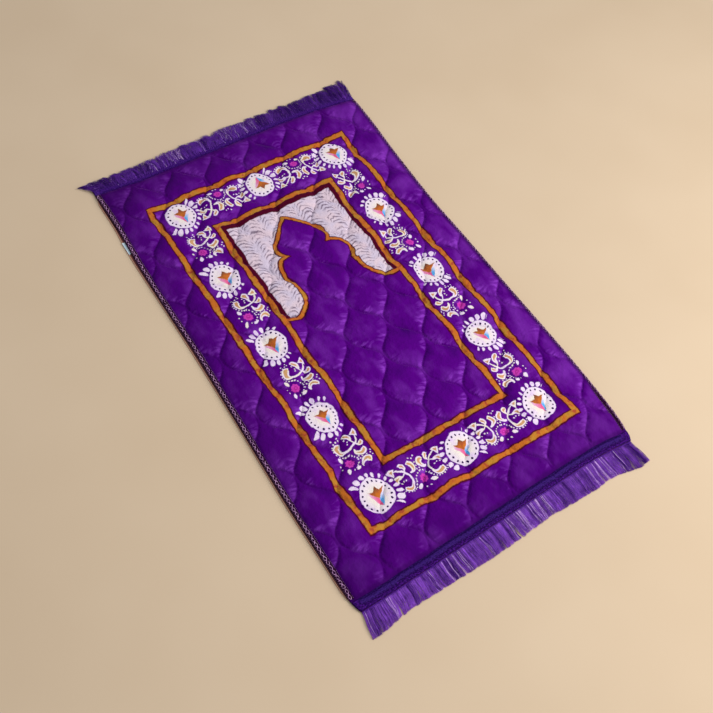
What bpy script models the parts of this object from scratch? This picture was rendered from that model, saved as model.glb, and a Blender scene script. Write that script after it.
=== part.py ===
"""Padded prayer rug, lying flat.

A quilted velvet pad is sewn to a plain cloth backing. A woven tape is sewn over each short
end and carries a fringe. The long edges are overlocked, and a small blank tab is caught in
the left one.

Metres, +Z up, floor at z = 0. X runs across the rug and +Y points to the niche end, called
the far end here. The rug is laid out about the middle of its body, then moved so that the
origin is below the middle of the whole rug, fringes included.
"""

import math
import random

import bpy
import bmesh

# Pieces that lie on each other or side by side are this far apart.
FIT_GAP = 0.0003

# Heights above the floor.
BACKING_THICKNESS = 0.0012
PAD_FLOOR = BACKING_THICKNESS + FIT_GAP
FLANGE_HEIGHT = 0.0042
SEAM_HEIGHT = 0.0068
CROWN_HEIGHT = 0.0145

# Body edges, in the order (along, left, right, proud): the place along the rug, the pad's
# left and right edges there, and how far the backing stands out past the left edge.
SIDE_EDGES = (
    (-0.600, -0.3360, 0.331, 0.0010),
    (-0.576, -0.3410, 0.331, 0.0010),
    (-0.560, -0.3465, 0.333, 0.0020),
    (-0.543, -0.3500, 0.341, 0.0030),
    (-0.520, -0.3505, 0.344, 0.0030),
    (-0.460, -0.3515, 0.349, 0.0025),
    (-0.320, -0.3520, 0.351, 0.0030),
    (-0.120, -0.3490, 0.347, 0.0020),
    (0.060, -0.3455, 0.344, 0.0040),
    (0.180, -0.3475, 0.341, 0.0025),
    (0.330, -0.3475, 0.345, 0.0045),
    (0.390, -0.3450, 0.348, 0.0055),
    (0.450, -0.3435, 0.352, 0.0040),
    (0.600, -0.3470, 0.355, 0.0030),
)
# Where the pad meets its end tapes, in the order (across, near, far).
END_EDGES = (
    (-0.380, -0.549, 0.549),
    (-0.250, -0.545, 0.541),
    (-0.140, -0.540, 0.544),
    (0.010, -0.533, 0.550),
    (0.160, -0.527, 0.555),
    (0.260, -0.525, 0.554),
    (0.380, -0.534, 0.545),
)
RIGHT_BACKING_INSET = 0.001
BACKING_END_STEPS = 28
BACKING_SIDE_STEPS = 32

# Quilting: a lattice of ogee cells, each rounded at its sides and pointed at both ends.
CELL_WIDTH = 0.1025
CELL_LENGTH = 0.151
LATTICE_X = -0.002
LATTICE_Y = 0.025
OGEE_BEND = 1.38
SEAM_HALF_WIDTH = 0.0024
PUFF_ROUNDNESS = 0.60
PUFF_SLIMNESS = 0.50
FIRST_SEAM = -7
LAST_SEAM = 6
COLUMNS_PER_CELL = 4
ROWS_PER_HALF_CELL = 4
LEAST_COLUMN_STEP = 0.0011

# Rolled long edge of the pad, from its top inwards and from its side down to the backing.
RIM_TOP = ((0.0000, 0.0050), (0.0040, 0.0066))
RIM_UNDER = ((0.0015, 0.0031), (0.0090, PAD_FLOOR))
RIM_INSET = 0.010
SIDE_RISE = 0.032
END_RISE = 0.030
END_STEPS = (0.0, 0.004, 0.014)
END_WALL_INSET = 0.0008

# Woven end tape: a lip, a rolled ridge and a second lip, from its inner to its outer edge.
TAPE_WIDTH = 0.023
TAPE_SECTION = (
    (0.0004, 0.0050),
    (0.0026, 0.0052),
    (0.0050, 0.0065),
    (0.0080, 0.0073),
    (0.0112, 0.0066),
    (0.0146, 0.0051),
    (0.0226, 0.0048),
)
TAPE_END_INSET = 0.0015
TAPE_STATIONS = 28

# Fringes. Each strand is fused at its root to a narrow strip beside the body's end.
STRANDS_PER_END = 80
STRIP_WIDTH = 0.003
STRIP_GAP = 0.0005
STRIP_HEIGHT = 0.0034
STRAND_FILL = 0.88
FRINGE_SEED = 11
# Each row: share of the strand's length, share of its root width, thickness.
NEAR_STRAND = ((0.48, 0.90, 0.0028), (1.00, 0.58, 0.0013))
FAR_STRAND = ((0.34, 0.90, 0.0032), (0.72, 0.80, 0.0026), (1.00, 0.56, 0.0015))
# Strand length, and sideways lean for each metre of it: (across, length, lean).
NEAR_FRINGE = (
    (-0.380, 0.0420, -0.30),
    (-0.330, 0.0490, -0.22),
    (-0.290, 0.0460, -0.06),
    (-0.250, 0.0440, 0.00),
    (-0.120, 0.0480, 0.06),
    (0.100, 0.0470, 0.04),
    (0.240, 0.0470, -0.02),
    (0.330, 0.0500, 0.10),
    (0.380, 0.0480, 0.16),
)
FAR_FRINGE = (
    (-0.380, 0.0125, -1.70),
    (-0.335, 0.0195, -1.10),
    (-0.315, 0.0220, -0.60),
    (-0.280, 0.0250, -0.18),
    (-0.150, 0.0300, 0.06),
    (0.020, 0.0320, -0.06),
    (0.120, 0.0290, 0.08),
    (0.225, 0.0285, 0.03),
    (0.290, 0.0350, 0.03),
    (0.325, 0.0450, 0.06),
    (0.345, 0.0500, 0.12),
    (0.380, 0.0500, 0.14),
)
# How far a strand arches off the floor, and how much strands differ from each other.
NEAR_LIFT = 0.0000
FAR_LIFT = 0.0048
LEAST_LIFT_SHARE = 0.25
LENGTH_SHARES = (0.93, 1.05)
SIDE_DRIFT = 0.13

# Blank tab caught under the left edge.
TAB_CENTRE_Y = 0.379
TAB_LENGTH = 0.036
TAB_TUCKED_IN = 0.004
TAB_STANDS_OUT = 0.0050
TAB_THICKNESS = 0.0006

# Colour, roughness.
VELVET = ((0.085, 0.006, 0.190), 0.85)
BACKING_CLOTH = ((0.450, 0.330, 0.200), 0.90)
TAPE_YARN = ((0.030, 0.006, 0.130), 0.70)
FRINGE_YARN = ((0.090, 0.022, 0.330), 0.65)
TAB_SATIN = ((0.620, 0.800, 0.850), 0.50)


def clear_scene():
    for thing in list(bpy.data.objects):
        bpy.data.objects.remove(thing, do_unlink=True)


def make_material(name, finish):
    colour, roughness = finish
    material = bpy.data.materials.new(name)
    material.use_nodes = True
    shader = material.node_tree.nodes["Principled BSDF"]
    shader.inputs["Base Color"].default_value = (*colour, 1.0)
    shader.inputs["Roughness"].default_value = roughness
    shader.inputs["Metallic"].default_value = 0.0
    return material


def make_object(name, points, faces, finish):
    """Turn points and faces into one closed object with its faces pointing out."""
    shape = bmesh.new()
    corners = [shape.verts.new(point) for point in points]
    for face in faces:
        shape.faces.new([corners[index] for index in face])
    bmesh.ops.recalc_face_normals(shape, faces=shape.faces)
    mesh = bpy.data.meshes.new(name)
    shape.to_mesh(mesh)
    shape.free()
    mesh.materials.append(make_material(name + "_finish", finish))
    thing = bpy.data.objects.new(name, mesh)
    bpy.context.scene.collection.objects.link(thing)
    return thing


def smooth_step(value):
    held = min(max(value, 0.0), 1.0)
    return held * held * (3.0 - 2.0 * held)


def from_table(rows, place, column):
    """Read a column of a table at a place, along a smooth curve through its rows."""
    last = len(rows) - 1
    step = 0
    while step < last - 1 and place > rows[step + 1][0]:
        step += 1
    start = rows[step]
    end = rows[step + 1]
    before = rows[max(step - 1, 0)]
    after = rows[min(step + 2, last)]
    share = (place - start[0]) / (end[0] - start[0])
    share = min(max(share, 0.0), 1.0)
    run = end[0] - start[0]
    slope_in = (end[column] - before[column]) / (end[0] - before[0]) * run
    slope_out = (after[column] - start[column]) / (after[0] - start[0]) * run
    square = share * share
    cube = square * share
    return (
        (2.0 * cube - 3.0 * square + 1.0) * start[column]
        + (cube - 2.0 * square + share) * slope_in
        + (3.0 * square - 2.0 * cube) * end[column]
        + (cube - square) * slope_out
    )


def left_edge(along):
    return from_table(SIDE_EDGES, along, 1)


def right_edge(along):
    return from_table(SIDE_EDGES, along, 2)


def tape_line(across, end):
    """Where the pad meets the tape; end is -1 for the near end and 1 for the far one."""
    return from_table(END_EDGES, across, 1 if end < 0 else 2)


def seam_x(index, along):
    """Across place of one winding seam line of the lattice."""
    half = CELL_WIDTH / 2.0
    steps = (LATTICE_Y - along) / (CELL_LENGTH / 2.0)
    whole = math.floor(steps)
    swing = (1.0 + math.cos(math.pi * (steps - whole) ** OGEE_BEND)) / 2.0
    share = 1.0 - swing if (whole + index) % 2 == 0 else swing
    start = LATTICE_X + index * half + SEAM_HALF_WIDTH
    return start + share * (half - 2.0 * SEAM_HALF_WIDTH)


def puff(across, along):
    """Rise of the filling, from 0 on a seam to 1 in the middle of a cell."""
    index = FIRST_SEAM - 2
    while seam_x(index + 1, along) < across:
        index += 1
    left = seam_x(index, along)
    right = seam_x(index + 1, along)
    share = (across - left) / (right - left)
    bulge = max(4.0 * share * (1.0 - share), 0.0) ** PUFF_ROUNDNESS
    return bulge * ((right - left) / CELL_WIDTH) ** PUFF_SLIMNESS


def end_rise(across, along):
    """Share of the full height, from 0 at the end tapes to 1 inside the body."""
    from_near = along - tape_line(across, -1)
    from_far = tape_line(across, 1) - along
    return smooth_step(min(from_near, from_far) / END_RISE)


def top_height(across, along):
    """Height of the quilted face."""
    from_side = min(across - left_edge(along), right_edge(along) - across)
    side = smooth_step((from_side - RIM_INSET) / SIDE_RISE)
    end = end_rise(across, along)
    seam = FLANGE_HEIGHT + (SEAM_HEIGHT - FLANGE_HEIGHT) * end
    return seam + (CROWN_HEIGHT - SEAM_HEIGHT) * puff(across, along) * side * end


def rim_height(height, across, along):
    """Height of the rolled edge, which thins where it runs under an end tape."""
    thin = (FLANGE_HEIGHT - PAD_FLOOR) / (RIM_TOP[-1][1] - PAD_FLOOR)
    share = thin + (1.0 - thin) * end_rise(across, along)
    return PAD_FLOOR + (height - PAD_FLOOR) * share


def pad_rows():
    """Rows of the quilted face from near to far: (end, distance from that end's tape)."""
    rows = [(-1, -TAPE_WIDTH)]
    rows += [(-1, step) for step in END_STEPS]
    pitch = CELL_LENGTH / 2.0 / ROWS_PER_HALF_CELL
    first_inner = max(row[1] for row in END_EDGES) + END_STEPS[-1] + pitch / 2.0
    last_inner = min(row[2] for row in END_EDGES) - END_STEPS[-1] - pitch / 2.0
    number = math.ceil((first_inner - LATTICE_Y) / pitch)
    while LATTICE_Y + number * pitch <= last_inner:
        rows.append((0, LATTICE_Y + number * pitch))
        number += 1
    rows += [(1, step) for step in reversed(END_STEPS)]
    rows.append((1, -TAPE_WIDTH))
    return rows


def row_y(row, across):
    end, distance = row
    if end == 0:
        return distance
    return tape_line(across, end) - end * distance


def row_edges(row):
    """Across places of the pad's left and right edges on a row, which slants a little."""
    left = left_edge(row_y(row, left_edge(0.0)))
    right = right_edge(row_y(row, right_edge(0.0)))
    return left, right


def row_columns(row):
    """Across places of one row: on the seams, between them, and along the rolled edges."""
    left_side, right_side = row_edges(row)
    along = row_y(row, 0.0)
    seams = [seam_x(index, along) for index in range(FIRST_SEAM, LAST_SEAM + 1)]
    places = [seams[0]]
    for left, right in zip(seams, seams[1:]):
        for part in range(1, COLUMNS_PER_CELL + 1):
            places.append(left + (right - left) * part / COLUMNS_PER_CELL)
    low = left_side + RIM_INSET
    high = right_side - RIM_INSET
    last = len(places) - 1
    for index, place in enumerate(places):
        place = max(place, low + index * LEAST_COLUMN_STEP)
        places[index] = min(place, high - (last - index) * LEAST_COLUMN_STEP)
    left_rim = [left_side + inset for inset, _ in RIM_TOP]
    right_rim = [right_side - inset for inset, _ in reversed(RIM_TOP)]
    return left_rim + places + right_rim


def pad_top():
    """Grid of points of the quilted face, row by row from near to far."""
    rims = len(RIM_TOP)
    grid = []
    for row in pad_rows():
        places = row_columns(row)
        line = []
        for index, across in enumerate(places):
            along = row_y(row, across)
            from_end = min(index, len(places) - 1 - index)
            if from_end < rims:
                height = rim_height(RIM_TOP[from_end][1], across, along)
            else:
                height = top_height(across, along)
            line.append((across, along, height))
        grid.append(line)
    return grid


def ring_of_grid(grid):
    """Indices (row, column) round the grid's outer edge, anticlockwise from the near left."""
    rows = len(grid)
    columns = len(grid[0])
    ring = [(0, column) for column in range(columns)]
    ring += [(row, columns - 1) for row in range(1, rows)]
    ring += [(rows - 1, column) for column in range(columns - 2, -1, -1)]
    ring += [(row, 0) for row in range(rows - 2, 0, -1)]
    return ring


def build_pad():
    """Velvet face and its filling, quilted together: one padded body with a flat underside."""
    grid = pad_top()
    rows = len(grid)
    columns = len(grid[0])
    points = [point for line in grid for point in line]
    faces = []
    for row in range(rows - 1):
        for column in range(columns - 1):
            start = row * columns + column
            faces.append((start, start + 1, start + columns + 1, start + columns))
    ring = ring_of_grid(grid)
    above = [row * columns + column for row, column in ring]
    for inset, height in RIM_UNDER:
        below = []
        for row, column in ring:
            across, along, _ = grid[row][column]
            if column == 0:
                across += inset
            if column == columns - 1:
                across -= inset
            if row == 0:
                along += END_WALL_INSET
            if row == rows - 1:
                along -= END_WALL_INSET
            below.append(len(points))
            points.append((across, along, rim_height(height, across, along)))
        for index, corner in enumerate(above):
            after = (index + 1) % len(above)
            faces.append((corner, above[after], below[after], below[index]))
        above = below
    faces.append(tuple(reversed(above)))
    return make_object("quilted_pad", points, faces, VELVET)


def body_outline():
    """Outline of the backing: near end, right side, far end, left side."""
    outline = []
    for end, turn in ((-1, 1), (1, -1)):
        left, right = row_edges((end, -TAPE_WIDTH))
        pitch = (right - RIGHT_BACKING_INSET - left) / BACKING_END_STEPS
        places = [left + step * pitch for step in range(BACKING_END_STEPS + 1)]
        for across in places[::turn]:
            outline.append((across, row_y((end, -TAPE_WIDTH), across)))
        start = outline[-1][1]
        finish = row_y((-end, -TAPE_WIDTH), outline[-1][0])
        for step in range(1, BACKING_SIDE_STEPS):
            along = start + (finish - start) * step / BACKING_SIDE_STEPS
            if turn > 0:
                across = right_edge(along) - RIGHT_BACKING_INSET
            else:
                across = left_edge(along) - from_table(SIDE_EDGES, along, 3)
            outline.append((across, along))
    return outline


def build_backing():
    """Plain cloth under the pad. Its flat underside lies on the floor."""
    outline = body_outline()
    count = len(outline)
    points = [(across, along, 0.0) for across, along in outline]
    points += [(across, along, BACKING_THICKNESS) for across, along in outline]
    faces = [tuple(reversed(range(count))), tuple(range(count, 2 * count))]
    for index in range(count):
        after = (index + 1) % count
        faces.append((index, after, count + after, count + index))
    return make_object("backing", points, faces, BACKING_CLOTH)


def build_tape(name, end):
    """Woven tape over one flattened end of the pad."""
    under = FLANGE_HEIGHT + FIT_GAP
    section = [(TAPE_SECTION[-1][0], under)]
    section.append((TAPE_SECTION[0][0], under))
    section += TAPE_SECTION
    sides = [row_edges((end, -out)) for out, _ in section]
    points = []
    for step in range(TAPE_STATIONS + 1):
        share = step / TAPE_STATIONS
        for (left, right), (out, height) in zip(sides, section):
            width = right - left - 2.0 * TAPE_END_INSET
            across = left + TAPE_END_INSET + width * share
            points.append((across, tape_line(across, end) + end * out, height))
    count = len(section)
    faces = [tuple(range(count))]
    for step in range(TAPE_STATIONS):
        for index in range(count):
            after = (index + 1) % count
            start = step * count
            faces.append((start + index, start + after, start + count + after, start + count + index))
    faces.append(tuple(reversed(range(TAPE_STATIONS * count, (TAPE_STATIONS + 1) * count))))
    return make_object(name, points, faces, TAPE_YARN)


def strand_rings(root, width, end, lengths, stages, lift, chance):
    """Four-cornered rings along one strand, from behind its root to its tip."""
    across, along = root
    length = from_table(lengths, across, 1) * chance.uniform(*LENGTH_SHARES)
    lean = from_table(lengths, across, 2) * length
    drift = chance.uniform(-SIDE_DRIFT, SIDE_DRIFT) * width
    rise = lift * chance.uniform(LEAST_LIFT_SHARE, 1.0)
    rings = []
    for share, narrowing, thickness in stages:
        half = width * narrowing / 2.0
        centre = across + (lean + drift) * share
        reach = along + end * length * share
        low = rise * math.sin(math.pi * share)
        high = low + thickness
        rings.append(
            (
                (centre - half, reach, low),
                (centre + half, reach, low),
                (centre + half, reach, high),
                (centre - half, reach, high),
            )
        )
    return rings


def build_fringe(name, end, lengths, stages, lift):
    """Strip with strands standing out from its outer face, all one body."""
    chance = random.Random(FRINGE_SEED + end)
    left_side, right_side = row_edges((end, -TAPE_WIDTH))
    left = left_side + TAPE_END_INSET
    right = right_side - TAPE_END_INSET
    pitch = (right - left) / STRANDS_PER_END
    width = pitch * STRAND_FILL
    edges = []
    for number in range(STRANDS_PER_END):
        middle = left + (number + 0.5) * pitch
        edges += [middle - width / 2.0, middle + width / 2.0]

    def face_y(across):
        return row_y((end, -TAPE_WIDTH), across) + end * (STRIP_GAP + STRIP_WIDTH)

    points = []
    for across in edges:
        points += [(across, face_y(across), 0.0), (across, face_y(across), STRIP_HEIGHT)]
    back_start = len(points)
    for across in edges[::4] + edges[-1:]:
        back = face_y(across) - end * STRIP_WIDTH
        points += [(across, back, 0.0), (across, back, STRIP_HEIGHT)]
    back_count = (len(points) - back_start) // 2
    low_front = [2 * index for index in range(len(edges))]
    low_back = [back_start + 2 * index for index in range(back_count)]
    low_loop = low_front + low_back[::-1]
    high_loop = [index + 1 for index in low_loop]
    faces = [tuple(low_loop), tuple(reversed(high_loop))]
    for index in range(len(low_loop)):
        here = low_loop[index]
        after = low_loop[(index + 1) % len(low_loop)]
        is_root = index < len(edges) and index % 2 == 0
        if not is_root:
            faces.append((here, after, after + 1, here + 1))
    for number in range(STRANDS_PER_END):
        first = 4 * number
        ring = [first, first + 2, first + 3, first + 1]
        middle = (edges[2 * number] + edges[2 * number + 1]) / 2.0
        root = (middle, face_y(middle))
        for corners in strand_rings(root, width, end, lengths, stages, lift, chance):
            grown = list(range(len(points), len(points) + 4))
            points += corners
            for index in range(4):
                after = (index + 1) % 4
                faces.append((ring[index], ring[after], grown[after], grown[index]))
            ring = grown
        faces.append(tuple(ring))
    return make_object(name, points, faces, FRINGE_YARN)


def build_tab():
    """Blank satin tab that lies on the backing and shows past the left edge."""
    edge = left_edge(TAB_CENTRE_Y)
    low_x = edge - TAB_STANDS_OUT
    high_x = edge + TAB_TUCKED_IN
    low_y = TAB_CENTRE_Y - TAB_LENGTH / 2.0
    high_y = TAB_CENTRE_Y + TAB_LENGTH / 2.0
    outline = ((low_x, low_y), (high_x, low_y), (high_x, high_y), (low_x, high_y))
    points = [(across, along, PAD_FLOOR) for across, along in outline]
    points += [(across, along, PAD_FLOOR + TAB_THICKNESS) for across, along in outline]
    faces = [(3, 2, 1, 0), (4, 5, 6, 7)]
    for index in range(4):
        after = (index + 1) % 4
        faces.append((index, after, 4 + after, 4 + index))
    return make_object("edge_tab", points, faces, TAB_SATIN)


def centre_on_floor(things):
    """Move the whole rug so that the origin is below the middle of its box."""
    for axis in (0, 1):
        places = [vertex.co[axis] for thing in things for vertex in thing.data.vertices]
        middle = (min(places) + max(places)) / 2.0
        for thing in things:
            thing.location[axis] = -middle


def main():
    clear_scene()
    things = [
        build_backing(),
        build_pad(),
        build_tape("heading_near", -1),
        build_tape("heading_far", 1),
        build_fringe("fringe_near", -1, NEAR_FRINGE, NEAR_STRAND, NEAR_LIFT),
        build_fringe("fringe_far", 1, FAR_FRINGE, FAR_STRAND, FAR_LIFT),
        build_tab(),
    ]
    centre_on_floor(things)


main()
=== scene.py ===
"""Looks of a padded prayer rug: quilted printed velvet, end tapes, fringes and overlocked edges.

Metres, +Z up, floor at z = 0. X runs across the rug and +Y points to the niche end, called the
far end. The rug is laid out about the middle of its body, as its solids are, and RugPiece moves
each finished piece into the frame. The print is drawn in millimetres about its own middle, on
the UV map "print_lay" of the velvet. An across place is an x, and an along place is a y.
"""

import logging
import math
from dataclasses import dataclass, field
from enum import Enum

import bpy
import numpy as np
from mathutils import Matrix, Vector, kdtree, noise


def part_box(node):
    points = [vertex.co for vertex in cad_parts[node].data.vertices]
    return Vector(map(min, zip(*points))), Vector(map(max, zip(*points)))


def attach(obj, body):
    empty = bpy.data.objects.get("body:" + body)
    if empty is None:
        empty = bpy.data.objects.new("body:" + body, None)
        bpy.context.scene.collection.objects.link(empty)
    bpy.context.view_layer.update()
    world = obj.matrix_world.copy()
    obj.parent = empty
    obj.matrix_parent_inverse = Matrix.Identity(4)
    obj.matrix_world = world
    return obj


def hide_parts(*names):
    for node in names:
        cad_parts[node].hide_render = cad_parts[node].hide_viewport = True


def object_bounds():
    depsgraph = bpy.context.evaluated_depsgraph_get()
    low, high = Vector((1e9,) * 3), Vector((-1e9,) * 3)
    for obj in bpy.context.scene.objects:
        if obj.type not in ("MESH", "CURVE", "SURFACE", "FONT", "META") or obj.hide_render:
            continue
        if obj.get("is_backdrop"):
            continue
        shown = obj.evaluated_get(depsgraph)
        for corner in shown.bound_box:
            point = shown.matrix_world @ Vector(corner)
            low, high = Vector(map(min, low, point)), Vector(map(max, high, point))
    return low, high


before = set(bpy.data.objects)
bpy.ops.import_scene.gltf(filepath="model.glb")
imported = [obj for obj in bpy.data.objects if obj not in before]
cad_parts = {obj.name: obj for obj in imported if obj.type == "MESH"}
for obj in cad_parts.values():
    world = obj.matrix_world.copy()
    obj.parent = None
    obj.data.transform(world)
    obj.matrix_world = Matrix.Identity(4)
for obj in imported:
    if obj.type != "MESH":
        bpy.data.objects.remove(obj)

Array = np.ndarray
Faces = list[tuple[int, ...]]
Group = bpy.types.NodeTree
Material = bpy.types.Material
Piece = bpy.types.Object
Dye = tuple[float, float, float, float]
Path = tuple[tuple[float, float], ...]
Table = tuple[float, ...]

LOG = logging.getLogger("prayer_rug")
MM = 0.001
PRINT_MAP = "print_lay"
SEAM_GAP = "seam_gap"
SEAM_RUN = "seam_run"
SEAM_FACING = "seam_facing"
# Share of painted shade on the pad's margins, and of the ridge colour on a tape.
MARGIN_SHADE_AND_RIDGE = "margin_shade_and_ridge"
# A thread's own tone, 1 for a fringe's painted glints, the backing hem's painted light, and a tape's height
# share, which paints its low parts darker.
TONE_AND_PAINTED_LIGHT = "tone_and_painted_light"
YARN_RUN = "yarn_run"


class End(Enum):
    """The two short ends of the rug."""

    NEAR = -1
    FAR = 1


class Side(Enum):
    """The two long edges of the rug."""

    LEFT = -1
    RIGHT = 1


def dye(red: int, green: int, blue: int) -> Dye:
    """Turn a screen colour into the linear colour that shaders take.

    Args:
        red: Red from 0 to 255.
        green: Green from 0 to 255.
        blue: Blue from 0 to 255.

    Returns:
        Linear red, green, blue and a full alpha.
    """
    shares = []
    for level in (red, green, blue):
        share = level / 255.0
        shares.append(share / 12.92 if share <= 0.04045 else ((share + 0.055) / 1.055) ** 2.4)
    return (*shares, 1.0)


def smooth_step(value: Array) -> Array:
    """Ease from 0 to 1 as the value goes from 0 to 1."""
    held = np.clip(value, 0.0, 1.0)
    return held * held * (3.0 - 2.0 * held)


# --- Small sums on shader nodes --------------------------------------------------------------


class Signal:
    """A value that changes over a surface: the output of a shader node."""

    def __init__(self, sheet: "NodeSheet", socket: bpy.types.NodeSocket) -> None:
        """Keep the sheet that the node lies on, and its output."""
        self.sheet = sheet
        self.socket = socket

    def sum_with(self, operation: str, *others: "Signal | float", clamp: bool = False) -> "Signal":
        """Lay out one more sum that starts with this value, held from 0 to 1 if wanted."""
        return self.sheet.math(operation, self, *others, clamp=clamp)

    def __add__(self, other: "Signal | float") -> "Signal":
        """Add a value."""
        return self.sum_with("ADD", other)

    def __sub__(self, other: "Signal | float") -> "Signal":
        """Take a value away."""
        return self.sum_with("SUBTRACT", other)

    def __mul__(self, other: "Signal | float") -> "Signal":
        """Multiply by a value."""
        return self.sum_with("MULTIPLY", other)

    def __neg__(self) -> "Signal":
        """Turn the sign."""
        return self.sum_with("MULTIPLY", -1.0)

    def __abs__(self) -> "Signal":
        """Drop the sign."""
        return self.sum_with("ABSOLUTE")

    def scaled(self, factor: float, offset: float) -> "Signal":
        """Multiply by a factor and add an offset."""
        return self.sum_with("MULTIPLY_ADD", factor, offset)

    def held(self, factor: float, offset: float) -> "Signal":
        """Multiply by a factor, add an offset, and hold the result from 0 to 1."""
        return self.sum_with("MULTIPLY_ADD", factor, offset, clamp=True)

    def at_most(self, other: "Signal | float") -> "Signal":
        """Take the lower of two values."""
        return self.sum_with("MINIMUM", other)

    def at_least(self, other: "Signal | float") -> "Signal":
        """Take the higher of two values."""
        return self.sum_with("MAXIMUM", other)

    def above(self, level: float) -> "Signal":
        """Say 1 above a level, and 0 below it."""
        return self.sum_with("GREATER_THAN", level)

    def repeated(self, half: float) -> "Signal":
        """Repeat from minus half a step to half a step."""
        return self.sum_with("WRAP", half, -half)

    def mirrored(self, half: float) -> "Signal":
        """Go up and down between 0 and half a step."""
        return self.sum_with("PINGPONG", half)

    def sine(self) -> "Signal":
        """Take the sine."""
        return self.sum_with("SINE")

    def inside(self, softness: float) -> "Signal":
        """Mask a shape's inside from the distance to its edge, over a blurred edge in millimetres."""
        return self.held(-1.0 / softness, 0.5)


class NodeSheet:
    """A node tree on which sums, textures and colours are laid out one after another."""

    def __init__(self, tree: Group) -> None:
        """Keep the node tree."""
        self.tree = tree

    def node(self, kind: str, **settings: object) -> bpy.types.Node:
        """Add a node.

        Args:
            kind: Type name of the node.
            settings: Its settings by name.

        Returns:
            The new node.
        """
        made = self.tree.nodes.new(kind)
        for name, value in settings.items():
            setattr(made, name, value)
        return made

    def feed(self, socket: bpy.types.NodeSocket, value: object) -> None:
        """Link a signal to a socket, or set a plain value on it."""
        if isinstance(value, Signal):
            self.tree.links.new(value.socket, socket)
        else:
            socket.default_value = value

    def fill(self, made: bpy.types.Node, output: int | str, values: dict[int | str, object]) -> Signal:
        """Fill a node's inputs.

        Args:
            made: The node.
            output: Which of its outputs is wanted.
            values: Values of its inputs, by number or name.

        Returns:
            The wanted output.
        """
        for which, value in values.items():
            self.feed(made.inputs[which], value)
        return Signal(self, made.outputs[output])

    def math(self, operation: str, *values: "Signal | float", clamp: bool = False) -> Signal:
        """Lay out one sum by the name of its operation, held from 0 to 1 if wanted."""
        made = self.node("ShaderNodeMath", operation=operation, use_clamp=clamp)
        return self.fill(made, 0, dict(enumerate(values)))

    def vector(self, operation: str, *values: object) -> Signal:
        """Lay out one vector sum, and return its result."""
        made = self.node("ShaderNodeVectorMath", operation=operation)
        gives_number = operation in ("DISTANCE", "LENGTH")
        return self.fill(made, "Value" if gives_number else "Vector", dict(enumerate(values)))

    def parts(self, place: Signal) -> list[Signal]:
        """Split a vector into its three numbers."""
        made = self.node("ShaderNodeSeparateXYZ")
        self.feed(made.inputs[0], place)
        return [Signal(self, socket) for socket in made.outputs]

    def joined(self, across: "Signal | float", along: "Signal | float", up: float = 0.0) -> Signal:
        """Make a vector of two signals and a height."""
        return self.fill(self.node("ShaderNodeCombineXYZ"), 0, {0: across, 1: along, 2: up})

    def length(self, across: Signal, along: Signal) -> Signal:
        """Measure how far a flat place is from the origin."""
        return self.vector("LENGTH", self.joined(across, along))

    def distance(self, place: Signal, across: float, along: float) -> Signal:
        """Measure how far a place is from a point."""
        return self.vector("DISTANCE", place, (across, along, 0.0))

    def turned(self, place: Signal, degrees: float) -> Signal:
        """Turn a flat vector about the origin, anticlockwise."""
        made = self.node("ShaderNodeVectorRotate", rotation_type="Z_AXIS")
        return self.fill(made, 0, {"Vector": place, "Angle": math.radians(degrees)})

    def noise(self, place: Signal, scale: float, detail: float, colour: bool = False) -> Signal:
        """Lay out a flat noise about 0.5, or its colour, with three noises in one."""
        made = self.node("ShaderNodeTexNoise", noise_dimensions="2D")
        return self.fill(made, int(colour), {"Vector": place, "Scale": scale, "Detail": detail})

    def mottle(self, place: Signal, scale: float, detail: float, factor: float, offset: float) -> Signal:
        """Lay out a noise, multiplied by a factor and with an offset added."""
        return self.noise(place, scale, detail).scaled(factor, offset)

    def drift(self, place: Signal, scale: float, detail: float, reach: float) -> Signal:
        """Lay out a noise that moves a place by up to a reach both ways."""
        return self.vector("MULTIPLY", self.noise(place, scale, detail, colour=True), (reach, reach, 0.0))

    def mix(self, share: "Signal | float", below: object, above: object) -> Signal:
        """Lay one colour over another, by the share of the upper one that shows."""
        made = self.node("ShaderNodeMix", data_type="RGBA", clamp_factor=True)
        return self.fill(made, 2, {0: share, 6: below, 7: above})

    def blend(self, share: Signal, low: Signal, high: Signal) -> Signal:
        """Go from one number to another as the share goes from 0 to 1."""
        made = self.node("ShaderNodeMix", data_type="FLOAT", clamp_factor=True)
        return self.fill(made, 0, {0: share, 2: low, 3: high})

    def attribute(self, name: str) -> Signal:
        """Read a number that the mesh carries."""
        made = self.node("ShaderNodeAttribute", attribute_type="GEOMETRY", attribute_name=name)
        return Signal(self, made.outputs["Fac"])

    def object_place(self) -> Signal:
        """Read the place on the object."""
        return Signal(self, self.node("ShaderNodeTexCoord").outputs["Object"])

    def bump(self, height: Signal, strength: float, distance: float) -> Signal:
        """Turn a height into a tilted normal."""
        made = self.node("ShaderNodeBump")
        return self.fill(made, 0, {"Strength": strength, "Distance": distance, "Height": height})

    def straightened(self, normal: Signal, share: Signal) -> Signal:
        """Turn a tilted normal back up by a share."""
        made = self.node("ShaderNodeMix", data_type="VECTOR")
        mixed = self.fill(made, 1, {0: share, 4: normal, 5: self.joined(0.0, 0.0, 1.0)})
        return self.vector("NORMALIZE", mixed)

    def use_group(self, group: Group, **values: object) -> dict[str, Signal]:
        """Place a node group with its own values.

        Args:
            group: The group.
            values: Values of its inputs, by name.

        Returns:
            Its outputs by name.
        """
        made = self.node("ShaderNodeGroup", node_tree=group)
        for name, value in values.items():
            self.feed(made.inputs[name], value)
        return {socket.name: Signal(self, socket) for socket in made.outputs}


class Kind(Enum):
    """What a group's socket carries."""

    NUMBER = "NodeSocketFloat"
    PLACE = "NodeSocketVector"
    COLOUR = "NodeSocketColor"


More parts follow.
